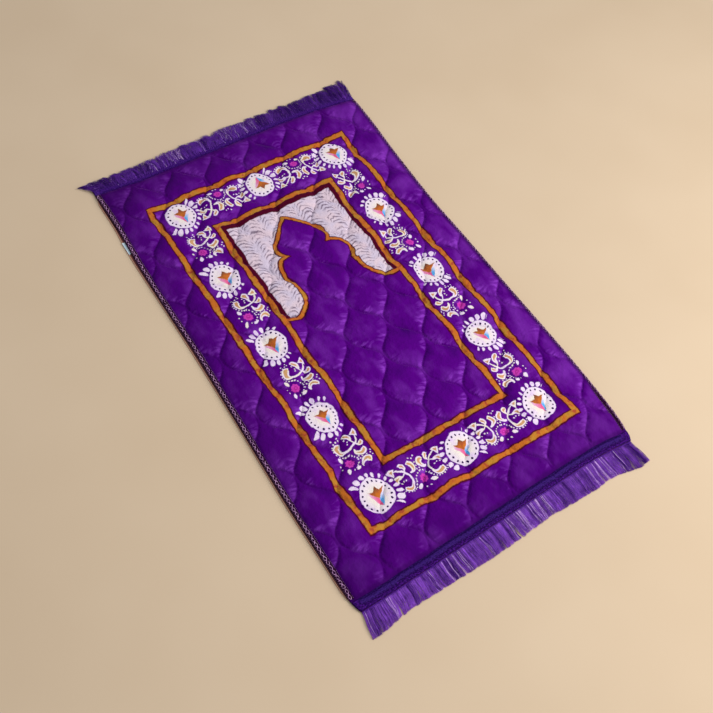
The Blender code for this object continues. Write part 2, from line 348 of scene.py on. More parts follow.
@dataclass
class GroupDraft:
    """A shader node group being laid out.

    Attributes:
        name: Its name.
        inputs: What its inputs carry, by name.
        outputs: What its outputs carry, by name.
        sheet: Its node sheet.
        given: Its inputs by name.
    """

    name: str
    inputs: dict[str, Kind]
    outputs: dict[str, Kind]
    sheet: NodeSheet = field(init=False)
    given: dict[str, Signal] = field(init=False)

    def __post_init__(self) -> None:
        """Start the group with its sockets."""
        tree = bpy.data.node_groups.new(self.name, "ShaderNodeTree")
        for sockets, way in ((self.inputs, "INPUT"), (self.outputs, "OUTPUT")):
            for label, kind in sockets.items():
                tree.interface.new_socket(name=label, in_out=way, socket_type=kind.value)
        self.sheet = NodeSheet(tree)
        start = self.sheet.node("NodeGroupInput")
        self.given = {label: Signal(self.sheet, start.outputs[label]) for label in self.inputs}

    def put_out(self, **values: Signal) -> Group:
        """Link the group's outputs, and return the finished group."""
        end = self.sheet.node("NodeGroupOutput")
        for name, value in values.items():
            self.sheet.feed(end.inputs[name], value)
        return self.sheet.tree


@dataclass(frozen=True)
class Gloss:
    """Constant values of a cloth's shader.

    Attributes:
        sheen: How much light the fibre ends catch at a low angle.
        sheen_roughness: How widely they spread it.
        sheen_tint: Its colour.
        specular: Strength of the plain reflection.
    """

    sheen: float
    sheen_roughness: float
    sheen_tint: Dye
    specular: float


@dataclass
class Dress:
    """A material being laid out around one Principled shader.

    Attributes:
        name: The material's name.
        gloss: Its constant values.
        material: The material.
        sheet: Its node sheet.
    """

    name: str
    gloss: Gloss
    material: Material = field(init=False)
    sheet: NodeSheet = field(init=False)

    def __post_init__(self) -> None:
        """Make the material and set the constant values on its shader."""
        self.material = bpy.data.materials.new(self.name)
        self.material.use_nodes = True
        self.sheet = NodeSheet(self.material.node_tree)
        self.set_inputs({
            "Sheen Weight": self.gloss.sheen,
            "Sheen Roughness": self.gloss.sheen_roughness,
            "Sheen Tint": self.gloss.sheen_tint,
            "Specular IOR Level": self.gloss.specular,
        })

    def set_inputs(self, values: dict[str, object]) -> None:
        """Set or link inputs of the Principled shader, by name."""
        shader = self.material.node_tree.nodes["Principled BSDF"]
        for name, value in values.items():
            self.sheet.feed(shader.inputs[name], value)

    def finish(self, colour: Signal, roughness: Signal, normal: Signal) -> Material:
        """Link what changes over the surface, and return the material."""
        self.set_inputs({"Base Color": colour, "Roughness": roughness, "Normal": normal})
        return self.material


# --- The print, in millimetres about its middle ----------------------------------------------


@dataclass(frozen=True)
class PrintSizes:
    """Sizes of the printed pattern, in millimetres.

    Attributes:
        outer_half: Half width and half length of the outer frame line's outer edge.
        inner_half: The same of the inner frame line.
        line_width: Width of both lines.
        dark_width: Width of the dark border inside the inner line, beside it and above it.
        niche_line_half: Half width of the line round the niche.
        edging: Width of the dark edging of each line.
        spandrel_gap: Distance from the niche's outline to the dark edging and to the spandrel.
        band_shift: How far the pattern between the lines is shifted to the far end.
        roundel_half: Half width and half height of a roundel.
        column_at: How far the side columns of roundels are from the middle.
        row_at: How far the end rows of roundels are from the middle.
        column_pitch: Distance of roundels along a side column.
        column_in: How far the middle of a side column's scrolls lies inside its roundels'.
        flower_shift: How far a side column's flowers lie off the middle between roundels.
    """

    outer_half: tuple[float, float] = (264.1, 454.0)
    inner_half: tuple[float, float] = (156.1, 341.8)
    line_width: float = 11.0
    dark_width: tuple[float, float] = (10.0, 14.5)
    niche_line_half: float = 3.6
    edging: float = 3.2
    spandrel_gap: float = 3.0
    band_shift: float = 5.5
    roundel_half: tuple[float, float] = (33.4, 37.2)
    column_at: float = 204.8
    row_at: float = 397.0
    column_pitch: float = 198.5
    column_in: float = 9.0
    flower_shift: float = 15.0


@dataclass(frozen=True)
class Inks:
    """Printed colours, and velvet colours that also paint light and shade on the pile."""

    ground: Dye = dye(84, 0, 126)
    # ground_deep: darker nap at random, and painted shade on seam sides that face away from the near end.
    ground_deep: Dye = dye(56, 0, 96)
    # ground_light: lighter nap at random, and painted highlights by the seams and towards the right side.
    ground_light: Dye = dye(136, 56, 184)
    orange: Dye = dye(198, 110, 20)
    ochre: Dye = dye(188, 132, 34)
    rust: Dye = dye(172, 78, 34)
    maroon: Dye = dye(76, 4, 4)
    white: Dye = dye(244, 228, 246)
    cream: Dye = dye(246, 236, 222)
    lilac: Dye = dye(232, 206, 242)
    gold: Dye = dye(208, 160, 106)
    dot: Dye = dye(40, 8, 72)
    pink: Dye = dye(230, 92, 140)
    blue: Dye = dye(86, 174, 232)
    star: Dye = dye(200, 112, 22)
    olive: Dye = dye(112, 76, 40)
    magenta: Dye = dye(202, 62, 176)
    heart: Dye = dye(150, 20, 110)
    pale: Dye = dye(216, 202, 220)
    pale_pink: Dye = dye(230, 208, 218)
    feather: Dye = dye(122, 104, 120)
    # shade: painted shade in the seams' creases.
    shade: Dye = dye(24, 0, 40)
    # Painted shade of the margins and of a strip along each seamed edge.
    margin_shade_and_ridge: Dye = dye(38, 2, 66)


@dataclass(frozen=True)
class Curl:
    """A comma on a ring, from a thin tail to a round head.

    Attributes:
        across: Place of the ring's middle along the band, in millimetres.
        out: Its place towards the rug's edge.
        radius: The ring's radius.
        width: Half width of the head.
        tail: Angle of the tail's tip, in degrees.
        sweep: Angle from tail to head, negative for clockwise.
        swelling: Share of the sweep over which the comma swells.
        bluntness: How fast it narrows again at the head.
    """

    across: float
    out: float
    radius: float
    width: float
    tail: float
    sweep: float
    swelling: float = 0.72
    bluntness: float = 1.1

    @staticmethod
    def shape() -> Group:
        """A comma that swells along a ring, on a place turned so that the head ends at half a turn.

        Returns:
            The node group that every curl uses.
        """
        names = ("Radius", "Swell", "Start", "Blunt", "Width")
        inputs = {"Place": Kind.PLACE} | dict.fromkeys(names, Kind.NUMBER)
        draft = GroupDraft("curl_shape", inputs, {"Distance": Kind.NUMBER})
        given = draft.given
        across, along, _ = draft.sheet.parts(given["Place"])
        angle = along.sum_with("ARCTAN2", across)
        tail_half_width = 1.2
        tail_bluntness = 14.0
        from_start = angle - given["Start"]
        rising = from_start * given["Swell"] + tail_half_width
        rising = rising.at_most(given["Width"]).at_most(from_start * tail_bluntness)
        falling = (-angle + math.pi) * given["Blunt"]
        off_ring = abs(draft.sheet.vector("LENGTH", given["Place"]) - given["Radius"])
        return draft.put_out(Distance=off_ring - rising.at_most(falling))

    def lay(self, place: Signal, shape: Group) -> Signal:
        """Place the comma.

        Args:
            place: Place in the band.
            shape: The comma's node group.

        Returns:
            Distance to its edge, negative inside.
        """
        sheet = place.sheet
        local = sheet.vector("SUBTRACT", place, (self.across, self.out, 0.0))
        head = self.tail + self.sweep
        if self.sweep < 0.0:
            local = sheet.vector("MULTIPLY", local, (1.0, -1.0, 1.0))
            head = -head
        span = math.radians(abs(self.sweep))
        made = sheet.use_group(
            shape,
            Place=sheet.turned(local, 180.0 - head),
            Radius=self.radius,
            Swell=self.width / (span * self.swelling),
            Start=math.pi - span,
            Blunt=self.radius * self.bluntness,
            Width=self.width,
        )
        return made["Distance"]


@dataclass(frozen=True)
class Leaf:
    """A leaf pointed at both ends.

    Attributes:
        across: Place of its middle along the band, in millimetres.
        out: Its place towards the rug's edge.
        half_length: Half its length.
        half_width: Half its width.
        lean: Angle of its length, in degrees.
    """

    across: float
    out: float
    half_length: float
    half_width: float
    lean: float

    def lay(self, place: Signal) -> Signal:
        """Place the leaf, where two discs overlap, and return the distance to its edge."""
        radius = (self.half_length ** 2 + self.half_width ** 2) / (2.0 * self.half_width)
        lean = math.radians(self.lean)
        over_across = -math.sin(lean) * (radius - self.half_width)
        over_out = math.cos(lean) * (radius - self.half_width)
        first = place.sheet.distance(place, self.across + over_across, self.out + over_out)
        second = place.sheet.distance(place, self.across - over_across, self.out - over_out)
        return first.at_least(second) - radius


@dataclass(frozen=True)
class RugPrint:
    """The printed pattern, laid out as shader node groups."""

    sizes: PrintSizes = PrintSizes()
    inks: Inks = Inks()

    @staticmethod
    def frame_distance(wide: Signal, high: Signal, half: tuple[float, float]) -> Signal:
        """Distance to a rectangle's edge, negative inside it."""
        return (wide - half[0]).at_least(high - half[1])

    @staticmethod
    def dot_ring(angle: Signal, reach: Signal, half_step: float, radius: float, dot: float) -> Signal:
        """Distance to the nearest dot on a ring, from half the step between dots and two radii."""
        return angle.sheet.length(angle.mirrored(half_step) * radius, reach - radius) - dot

    def roundel_place(self, place: Signal) -> tuple[Signal, Signal]:
        """Place across and along from the nearest roundel's middle."""
        across, along, _ = place.sheet.parts(place)
        local_across = across.repeated(self.sizes.column_at / 2.0)
        return local_across, along.repeated(self.sizes.column_pitch / 2.0)

    def roundels(self) -> Group:
        """White ovals with dots round a star, upside down in the middle of the far end."""
        outputs = {"Colour": Kind.COLOUR, "Mask": Kind.NUMBER}
        draft = GroupDraft("roundels", {"Place": Kind.PLACE}, outputs)
        sheet = draft.sheet
        inks = self.inks
        place = draft.given["Place"]
        across, along, _ = sheet.parts(place)
        local_across, upright = self.roundel_place(place)
        at_far_end = along - 1.5 * self.sizes.column_pitch
        in_middle = abs(across).scaled(-1.0, self.sizes.column_at / 2.0)
        turned_over = at_far_end.at_most(in_middle).above(0.0)

        half_wide, half_high = self.sizes.roundel_half
        local = sheet.joined(local_across, upright)
        oval = sheet.vector("MULTIPLY", local, (1.0 / half_wide, 1.0 / half_high, 0.0))
        share = sheet.vector("LENGTH", oval)
        wobble = sheet.mottle(place, 0.045, 1.0, 0.09, 0.955)
        mask = (share * wobble).scaled(half_wide, -half_wide).inside(1.3)
        body = sheet.mix(share.scaled(1.9, -0.75), inks.cream, inks.white)
        body = sheet.mix(sheet.mottle(place, 0.055, 2.0, 4.0, -2.2), body, inks.lilac)
        dot_count, ring, dot_radius = 18, 0.83 * half_wide, 2.0
        angle = upright.sum_with("ARCTAN2", local_across)
        dots = self.dot_ring(angle, share * half_wide, math.pi / dot_count, ring, dot_radius)
        body = sheet.mix(dots.inside(0.8), body, inks.dot)
        star_middle = 3.0
        upward = upright * turned_over.scaled(-2.0, 1.0)
        return draft.put_out(Colour=self.star(place, local_across - star_middle, upward, body), Mask=mask)

    def star(self, place: Signal, side: Signal, upward: Signal, body: Signal) -> Signal:
        """Lay a roundel's star, and the pink and blue point below it, over the roundel.

        Args:
            place: Place on the print.
            side: Place across from the star's middle.
            upward: Place towards the star's tip.
            body: The roundel's colour.

        Returns:
            The colour with both on it.
        """
        sheet = place.sheet
        inks = self.inks
        foot_slope, foot_height = 0.93, 6.5
        prong_slope, prong_height = -1.33, 19.5
        notch_slope, notch_height = 0.06, 9.6
        point_slope, point_depth, point_half = 1.6, 24.0, 17.5
        spread = abs(side)
        over_foot = upward + foot_height - spread * foot_slope
        prongs = spread.scaled(prong_slope, prong_height)
        top = prongs.at_least(spread.scaled(notch_slope, notch_height))
        star = (-over_foot.at_most(top - upward)).inside(1.4)
        over_point = (upward + point_depth - spread * point_slope).at_most(-spread + point_half)
        point = (-over_point.at_most(-over_foot)).inside(1.8)
        blue = sheet.mix(side * 0.055 + upward * 0.04 + 0.17, inks.blue, inks.white)
        pink = sheet.mix(side.scaled(-0.05, -0.15), inks.pink, inks.lilac)
        point_colour = sheet.mix(side.scaled(0.5, 0.5), pink, blue)
        star_colour = sheet.mix(upward.scaled(0.09, -0.35), inks.star, inks.olive)
        star_colour = sheet.mix(sheet.mottle(place, 0.16, 1.0, 2.0, -0.8), star_colour, inks.rust)
        return sheet.mix(star, sheet.mix(point, body, point_colour), star_colour)

    def petals(self) -> Group:
        """White ovals that fan out from each roundel along the band, and grow towards the edge."""
        draft = GroupDraft("petals", {"Place": Kind.PLACE}, {"Mask": Kind.NUMBER})
        sheet = draft.sheet
        sizes = self.sizes
        count, radius = 21, 43.5
        half_width, half_length = 4.0, 6.0
        doubled_over, slant, hardness = 92.0, 0.06, 4.6
        fan, past_middle = 1.2, 9.0
        across, along, _ = sheet.parts(draft.given["Place"])
        local_across, local_along = self.roundel_place(draft.given["Place"])
        angle = local_along.sum_with("ARCTAN2", local_across)
        round_ring = angle.repeated(math.pi / count) * radius
        reach = sheet.length(local_across, local_along) - radius
        wide = abs(across)
        high = abs(along)
        from_inner = self.frame_distance(wide, high, (sizes.column_at, sizes.row_at))
        swell = from_inner.scaled(1.0 / doubled_over, 1.0)
        outward = (reach - from_inner * slant) * (1.0 / half_length)
        petal = (sheet.length(round_ring * (1.0 / half_width), outward) - swell) * hardness

        aside = abs(local_across)
        upward = abs(local_along)
        row_fan = (aside * fan - upward).at_most(high - 1.5 * sizes.column_pitch)
        row_fan = row_fan.at_most(wide.scaled(-1.0, sizes.column_at + past_middle))
        column_fan = (upward * fan - aside).at_most(wide - sizes.column_at / 2.0)
        column_fan = column_fan.at_most(high.scaled(-1.0, sizes.row_at + past_middle))
        return draft.put_out(Mask=petal.inside(0.9) * row_fan.at_least(column_fan).above(0.0))

    def scroll_place(self, place: Signal) -> tuple[Signal, Signal]:
        """Fold the band on the flower between two roundels.

        Args:
            place: Place on the print.

        Returns:
            The folded place, along the band and towards the rug's edge, and a mask of the short
            side of a column's gap.
        """
        sheet = place.sheet
        sizes = self.sizes
        across, along, _ = sheet.parts(place)
        wide = abs(across)
        high = abs(along)
        past_flower = along.sum_with("FLOORED_MODULO", sizes.column_pitch)
        past_flower = past_flower - (sizes.column_pitch / 2.0 - sizes.flower_shift)
        in_column = (wide - high + (sizes.row_at - sizes.column_at)).above(0.0)
        folded = sheet.joined(
            sheet.blend(in_column, abs(wide - sizes.column_at / 2.0), abs(past_flower)),
            sheet.blend(in_column, high - sizes.row_at, wide - (sizes.column_at - sizes.column_in)),
        )
        return folded, (-past_flower).above(0.0) * in_column

    @staticmethod
    def bow(place: Signal, ring: Table, half_width: float, stretch: Table, limit: float) -> Signal:
        """Lay a bowed line, which is a stretch of a ring.

        Args:
            place: Place in the band.
            ring: Place across and out of the ring's middle, and its radius.
            half_width: Half the line's width.
            stretch: Middle and half length of the line, towards the rug's edge.
            limit: Where it ends along the band.

        Returns:
            Distance to its edge, negative inside.
        """
        across, out, _ = place.sheet.parts(place)
        line = abs(place.sheet.distance(place, ring[0], ring[1]) - ring[2]) - half_width
        return line.at_least(abs(out - stretch[0]) - stretch[1]).at_least(across - limit)

    def scrolls(self) -> Group:
        """Curls, leaves, dots and a flower between the roundels."""
        outputs = dict.fromkeys(("Outline", "Core", "Flower", "Heart"), Kind.NUMBER)
        draft = GroupDraft("scrolls", {"Place": Kind.PLACE}, outputs)
        sheet = draft.sheet
        folded, short_side = self.scroll_place(draft.given["Place"])
        out_of_sight = 20.0
        away = short_side * out_of_sight
        shape = Curl.shape()
        inner = Curl(17.1, -15.0, 9.4, 5.7, 66.0, 214.0).lay(folded, shape)
        petal = Leaf(15.6, 28.2, 6.4, 3.9, 28.0).lay(folded)
        bud = Leaf(18.0, 6.5, 5.6, 3.6, 70.0).lay(folded) + short_side.scaled(-out_of_sight, out_of_sight)
        low = Curl(35.7, 11.0, 11.2, 6.3, 204.0, -196.0)
        across, out, _ = sheet.parts(folded)
        head_middle, head_slope, head_half, head_end = 53.6, 0.58, 6.6, 31.0
        from_head = abs(across - head_middle)
        far_off = (from_head + out * head_slope).scaled(0.86, head_half)
        far_off = far_off.at_least(-out - head_end + from_head * 0.2)
        hook = Curl(33.6, -21.4, 6.8, 5.3, 118.0, 172.0)
        for curl in (hook, low, Curl(44.6, 2.6, 12.0, 5.4, 236.0, 128.0)):
            far_off = far_off.at_most(curl.lay(folded, shape))
        stem = self.bow(folded, (58.8, 8.1, 34.7), 1.8, (-7.0, 17.5), 50.0)
        crossing = self.bow(folded, (46.5, -27.0, 20.7), 1.2, (-12.5, 9.5), 47.0)
        far_off = far_off.at_most(stem).at_most(crossing) + away
        distance = inner.at_most(petal).at_most(far_off).at_most(bud)
        outline_width = 3.1
        core = inner.at_most(far_off) + outline_width

        flower_out, flower_radius, lobe_depth, lobes = 16.4, 8.8, 0.8, 8.0
        heart_radius, heart_half = 3.0, 0.5
        from_flower = sheet.vector("SUBTRACT", folded, (0.0, flower_out, 0.0))
        flower_across, flower_along, _ = sheet.parts(from_flower)
        angle = flower_along.sum_with("ARCTAN2", flower_across)
        reach = sheet.vector("LENGTH", from_flower)
        lobed = (angle * lobes).sum_with("COSINE").scaled(lobe_depth, flower_radius)
        flower = (reach - lobed).inside(1.4)
        heart = (abs(reach - heart_radius) - heart_half).inside(1.6)

        dot, flower_ring, flower_step, low_ring, low_step = 1.45, 17.0, 10.5, 19.3, 9.4
        dots = self.dot_ring(angle, reach, math.radians(flower_step), flower_ring, dot)
        dots = dots.at_least(flower_along - 1.0)
        from_low = sheet.vector("SUBTRACT", folded, (low.across, low.out, 0.0))
        low_across, low_along, _ = sheet.parts(from_low)
        low_angle = low_along.sum_with("ARCTAN2", low_across)
        low_reach = sheet.vector("LENGTH", from_low)
        low_dots = self.dot_ring(low_angle, low_reach, math.radians(low_step), low_ring, dot)
        dots = dots.at_most(low_dots.at_least(-low_along - 3.0) + away)
        for spot in ((5.6, -33.5), (0.0, -30.5), (0.0, -21.5), (0.0, -12.0), (3.2, -5.5), (4.4, 35.5)):
            dots = dots.at_most(sheet.distance(folded, *spot) - dot)
        for spot in ((48.6, 2.6), (41.5, -0.4), (36.0, 1.4), (58.5, -6.0), (60.0, 12.0), (57.0, 25.0)):
            dots = dots.at_most(sheet.distance(folded, *spot) - dot + away)
        dots = dots.at_least(-distance + 0.8)
        clear_radius = 48.0
        clear = -sheet.length(*self.roundel_place(draft.given["Place"])) + clear_radius
        outline = distance.at_most(dots).at_least(clear).inside(0.9)
        core_mask = core.at_least(clear).inside(1.0)
        return draft.put_out(Outline=outline, Core=core_mask, Flower=flower, Heart=heart)

    @staticmethod
    def niche() -> Group:
        """Distance to the niche's outline, negative in the field below it."""
        draft = GroupDraft("niche", {"Place": Kind.PLACE}, {"Distance": Kind.NUMBER})
        sheet = draft.sheet
        roof_reach, roof_half = 206.1, 50.3
        upper_cusp, lower_cusp, foot_disc = (22.0, 212.5, 40.0), (48.0, 148.5, 40.0), (133.0, 94.5, 55.5)
        neck_half, neck_top, foot_top, field_top = 79.0, 160.0, 110.0, 34.5
        across, along, _ = sheet.parts(draft.given["Place"])
        lean = along.scaled(-0.07, 9.5).at_least(-3.5).at_most(6.0)
        wide = abs(across - lean)
        half = sheet.joined(wide, along)
        opening = (wide + along).scaled(math.sqrt(0.5), -roof_reach).at_least(wide - roof_half)
        for *middle, radius in (upper_cusp, lower_cusp):
            opening = opening.at_most(sheet.distance(half, *middle) - radius)
        opening = opening.at_most((wide - neck_half).at_least(along - neck_top))
        round_disc = sheet.distance(half, *foot_disc[:2]).scaled(-1.0, foot_disc[2])
        opening = opening.at_most((along - foot_top).at_least(round_disc))
        return draft.put_out(Distance=opening.at_most(along - field_top))

    @staticmethod
    def feathers() -> Group:
        """Stacked pale arcs with short dashes between their columns, and the tint below them."""
        draft = GroupDraft("feathers", {"Place": Kind.PLACE}, {"Mask": Kind.NUMBER, "Tint": Kind.NUMBER})
        sheet = draft.sheet
        place = draft.given["Place"]
        column_at, column_half, bow = -124.0, 22.5, 0.038
        rung_half, arc_half, arc_end, fade = 5.2, 1.5, 20.0, 5.0
        dash_step, dash_length, dash_half, dash_strength = 11.0, 4.2, 0.9, 0.7
        across, along, _ = sheet.parts(sheet.vector("ADD", place, sheet.drift(place, 0.10, 2.0, 7.0)))
        aside = (across - column_at).repeated(column_half)
        arc = ((along + aside * aside * bow).mirrored(rung_half) - arc_half).inside(2.6)
        ends = abs(aside).held(-1.0 / fade, arc_end / fade)
        dash_along = along.mirrored(dash_step) - dash_length
        dash = (-abs(aside) + (column_half - dash_half)).at_least(dash_along).inside(1.2)
        faint = sheet.noise(place, 0.045, 2.0).held(5.5, -1.95)
        mask = (arc * ends).at_least(dash * dash_strength) * faint
        return draft.put_out(Mask=mask, Tint=sheet.mottle(place, 0.035, 1.0, 4.0, -1.5))

    def frames(self, place: Signal, inner: Signal, outer: Signal, ground: Signal) -> Signal:
        """Lay the frame lines, the niche's line, the dark edgings and the spandrels over the ground.

        Args:
            place: Place on the print, in millimetres.
            inner: Distance to the inner line's outer edge.
            outer: Distance to the outer line's outer edge.
            ground: Colour of the unprinted velvet.

        Returns:
            The colour with all of them on it.
        """
        sheet = place.sheet
        inks = self.inks
        sizes = self.sizes
        across, along, _ = sheet.parts(place)
        line_half = sizes.line_width / 2.0
        niche = sheet.use_group(self.niche(), Place=place)["Distance"]
        in_frame = inner + sizes.line_width
        lines = (abs(niche) - sizes.niche_line_half).at_least(in_frame)
        for frame_line in (outer, inner):
            lines = lines.at_most(abs(frame_line + line_half) - line_half)

        beyond_niche = -niche + sizes.spandrel_gap
        dark_half = [
            half - sizes.line_width - dark for half, dark in zip(sizes.inner_half, sizes.dark_width)
        ]
        within_dark = self.frame_distance(abs(across), abs(along), dark_half)
        spandrel = within_dark.at_least(beyond_niche + sizes.spandrel_gap)
        edging = (lines - sizes.edging).at_most(in_frame.at_least(beyond_niche))

        feathers = sheet.use_group(self.feathers(), Place=place)
        pale = sheet.mix(feathers["Tint"], inks.pale, inks.pale_pink)
        pale = sheet.mix(feathers["Mask"], pale, inks.feather)
        orange = sheet.mix(sheet.mottle(place, 0.035, 3.0, 5.0, -2.2), inks.orange, inks.ochre)
        orange = sheet.mix(sheet.mottle(place, 0.08, 1.0, 6.0, -3.4), orange, inks.rust)
        colour = sheet.mix(edging.inside(1.8), ground, inks.maroon)
        colour = sheet.mix(spandrel.inside(1.6), colour, pale)
        return sheet.mix(lines.inside(1.5), colour, orange)

    def cloth_colour(self, place: Signal, ground: Signal) -> Signal:
        """Lay the whole print over the ground colour.

        Args:
            place: Place on the print, in millimetres.
            ground: Colour of the unprinted velvet.

        Returns:
            The printed colour.
        """
        sheet = place.sheet
        inks = self.inks
        sizes = self.sizes
        across, along, _ = sheet.parts(place)
        outer = self.frame_distance(abs(across), abs(along), sizes.outer_half)
        inner = self.frame_distance(abs(across), abs(along), sizes.inner_half)
        colour = self.frames(place, inner, outer, ground)

        band_place = sheet.vector("SUBTRACT", place, (0.0, sizes.band_shift, 0.0))
        in_band = (inner - 1.0).at_most(-outer - sizes.line_width).above(0.0)
        white = sheet.mix(sheet.mottle(place, 0.09, 1.0, 5.0, -2.4), inks.white, inks.lilac)
        cream = sheet.mix(sheet.mottle(place, 0.05, 1.0, 5.0, -2.2), inks.white, inks.cream)
        petals = sheet.use_group(self.petals(), Place=band_place)
        scrolls = sheet.use_group(self.scrolls(), Place=band_place)
        roundels = sheet.use_group(self.roundels(), Place=band_place)
        for mask, ink in (
            (petals["Mask"], white),
            (scrolls["Outline"], cream),
            (scrolls["Core"], inks.gold),
            (scrolls["Flower"], inks.magenta),
            (scrolls["Heart"], inks.heart),
            (roundels["Mask"], roundels["Colour"]),
        ):
            colour = sheet.mix(mask * in_band, colour, ink)
        return colour


# --- Finishes --------------------------------------------------------------------------------


def pile_fuzz() -> Group:
    """Short fibre ends: a fine height and a fine light and dark speckle."""
    inputs = {"Place": Kind.PLACE}
    draft = GroupDraft("pile_fuzz", inputs, {"Height": Kind.NUMBER, "Speckle": Kind.NUMBER})
    sheet = draft.sheet
    place = draft.given["Place"]
    tufts = sheet.noise(place, 620.0, 2.0)
    matted = sheet.noise(place, 150.0, 2.0)
    return draft.put_out(Height=tufts * 0.6 + matted * 0.4, Speckle=tufts)


def yarn_shades() -> Group:
    """Uneven dye along yarns: a slow shade and a fast twist, from the place and a yarn's tone."""
    inputs = {"Place": Kind.PLACE, "Run": Kind.NUMBER, "Tone": Kind.NUMBER}
    draft = GroupDraft("yarn_shades", inputs, {"Shade": Kind.NUMBER, "Twist": Kind.NUMBER})
    sheet = draft.sheet
    place = draft.given["Place"]
    slow = sheet.noise(place, 70.0, 2.0)
    turns_per_metre = 900.0
    phase = draft.given["Run"] * (turns_per_metre * math.tau) + draft.given["Tone"] * 40.0
    twist = phase.sine().scaled(0.5, 0.5)
    return draft.put_out(Shade=slow * 0.7 + draft.given["Tone"] * 0.3, Twist=twist)


def plain_weave() -> Group:
    """Plain weave: the height of threads that go over and under each other, and their slubs."""
    inputs = {"Place": Kind.PLACE, "Threads": Kind.NUMBER}
    draft = GroupDraft("plain_weave", inputs, {"Height": Kind.NUMBER, "Slub": Kind.NUMBER})
    sheet = draft.sheet
    across, along, _ = sheet.parts(draft.given["Place"])
    turn = draft.given["Threads"] * math.pi
    warp = (across * turn).sine()
    weft = (along * turn).sine()
    over = (warp * weft).scaled(0.5, 0.5)
    slub = sheet.noise(draft.given["Place"], 90.0, 3.0)
    return draft.put_out(Height=over, Slub=slub)


@dataclass(frozen=True)
class PrintedVelvet:
    """Short-pile velvet with the rug's print.

    Attributes:
        design: The print.
        gloss: Constant values of its shader.
        drifts: Scale, detail and reach of the noises that make the print uneven.
        flattening: How far white ink flattens the pile.
    """

    design: RugPrint = RugPrint()
    gloss: Gloss = Gloss(0.20, 0.35, (0.74, 0.20, 1.0, 1.0), 0.03)
    drifts: tuple = ((0.065, 2.0, 5.6), (0.8, 1.0, 1.7), (0.017, 1.0, 9.0))
    flattening: float = 0.55

    def material(self, fuzz: Group) -> Material:
        """Build the material.

        Args:
            fuzz: The node group of fine pile.

        Returns:
            The material.
        """
        dress = Dress("printed_velvet", self.gloss)
        sheet = dress.sheet
        inks = self.design.inks
        lay = Signal(sheet, sheet.node("ShaderNodeUVMap", uv_map=PRINT_MAP).outputs[0])
        in_mm = sheet.node("ShaderNodeVectorMath", operation="SCALE")
        flat = sheet.fill(in_mm, 0, {0: lay, "Scale": 1.0 / MM})
        place = flat
        for drift in self.drifts:
            place = sheet.vector("ADD", place, sheet.drift(flat, *drift))
        middle = sum(reach for _, _, reach in self.drifts) / 2.0
        place = sheet.vector("SUBTRACT", place, (middle, middle, 0.0))

        gap = sheet.attribute(SEAM_GAP)
        # Painted shade in the seams' creases, from the distance to a seam.
        seam_shade = gap.held(-1.0 / 0.0042, 1.0)
        seam_shade = seam_shade * seam_shade
        nap = sheet.noise(sheet.vector("MULTIPLY", flat, (1.0, 0.6, 0.0)), 0.022, 3.0)
        run = sheet.attribute(SEAM_RUN)
        fold_place = sheet.joined(run * (1.0 / 0.0086) + gap * 60.0, gap * (1.0 / 0.024))
        folds = sheet.noise(fold_place, 1.0, 2.0)
        near_seam = gap.held(-1.0 / 0.022, 1.1)
        fade = near_seam * gap.held(1.0 / 0.0035, 0.0)
        patches = sheet.noise(flat, 0.021, 1.0).held(7.0, -2.7)
        lit_side = sheet.attribute(SEAM_FACING).held(1.2, 0.15)
        # Lighter crushed pile on the folds by the seams, kept to the side that faces the near end: partly
        # pile, partly painted highlight.
        crushed_and_lit = folds.held(4.6, -2.1) * patches * fade * lit_side
        by_seam = gap.held(-1.0 / 0.017, 1.0)
        # Painted light and shade: the seam side that faces the near end turns lighter, the other side
        # darker.
        border = sheet.attribute(SEAM_FACING) * by_seam * folds.scaled(0.8, 0.6)
        # Painted light: the velvet turns lighter towards the right side.
        lit_right_side = sheet.parts(flat)[0].held(1.0 / 130.0, -1.5) * 0.16
        # Lighter where the nap is lighter at random, and where the painted highlights and painted light
        # above fall.
        lit = nap.scaled(1.3, -0.62) + crushed_and_lit * 0.95 + border * 0.26 + lit_right_side
        ground = sheet.mix(lit, inks.ground, inks.ground_light)
        ground = sheet.mix(nap.scaled(-2.4, 1.05) - border * 0.55, ground, inks.ground_deep)
        # Painted shade of the margins and of a strip along each seamed edge.
        ground = sheet.mix(sheet.attribute(MARGIN_SHADE_AND_RIDGE), ground, inks.margin_shade_and_ridge)
        printed = self.design.cloth_colour(place, ground)
        made = sheet.use_group(fuzz, Place=sheet.object_place())
        speckled = sheet.mix(made["Speckle"].scaled(-0.5, 0.36), printed, inks.ground_deep)
        # Painted shade: the seams' creases darken towards the shade colour.
        shaded = sheet.mix(seam_shade * 0.2, speckled, inks.shade)
        roughness = made["Speckle"].scaled(0.3, 0.68)

        gathers = sheet.noise(flat, 0.11, 3.0)
        height = made["Height"] * 0.25 + gathers * 1.9 + folds * fade * 1.5
        bumped = sheet.bump(height, 0.8, 0.0012)
        grey = sheet.node("ShaderNodeRGBToBW")
        sheet.feed(grey.inputs[0], printed)
        whiteness = Signal(sheet, grey.outputs[0]).held(2.0, -0.7)
        normal = sheet.straightened(bumped, whiteness * self.flattening)
        return dress.finish(shaded, roughness, normal)


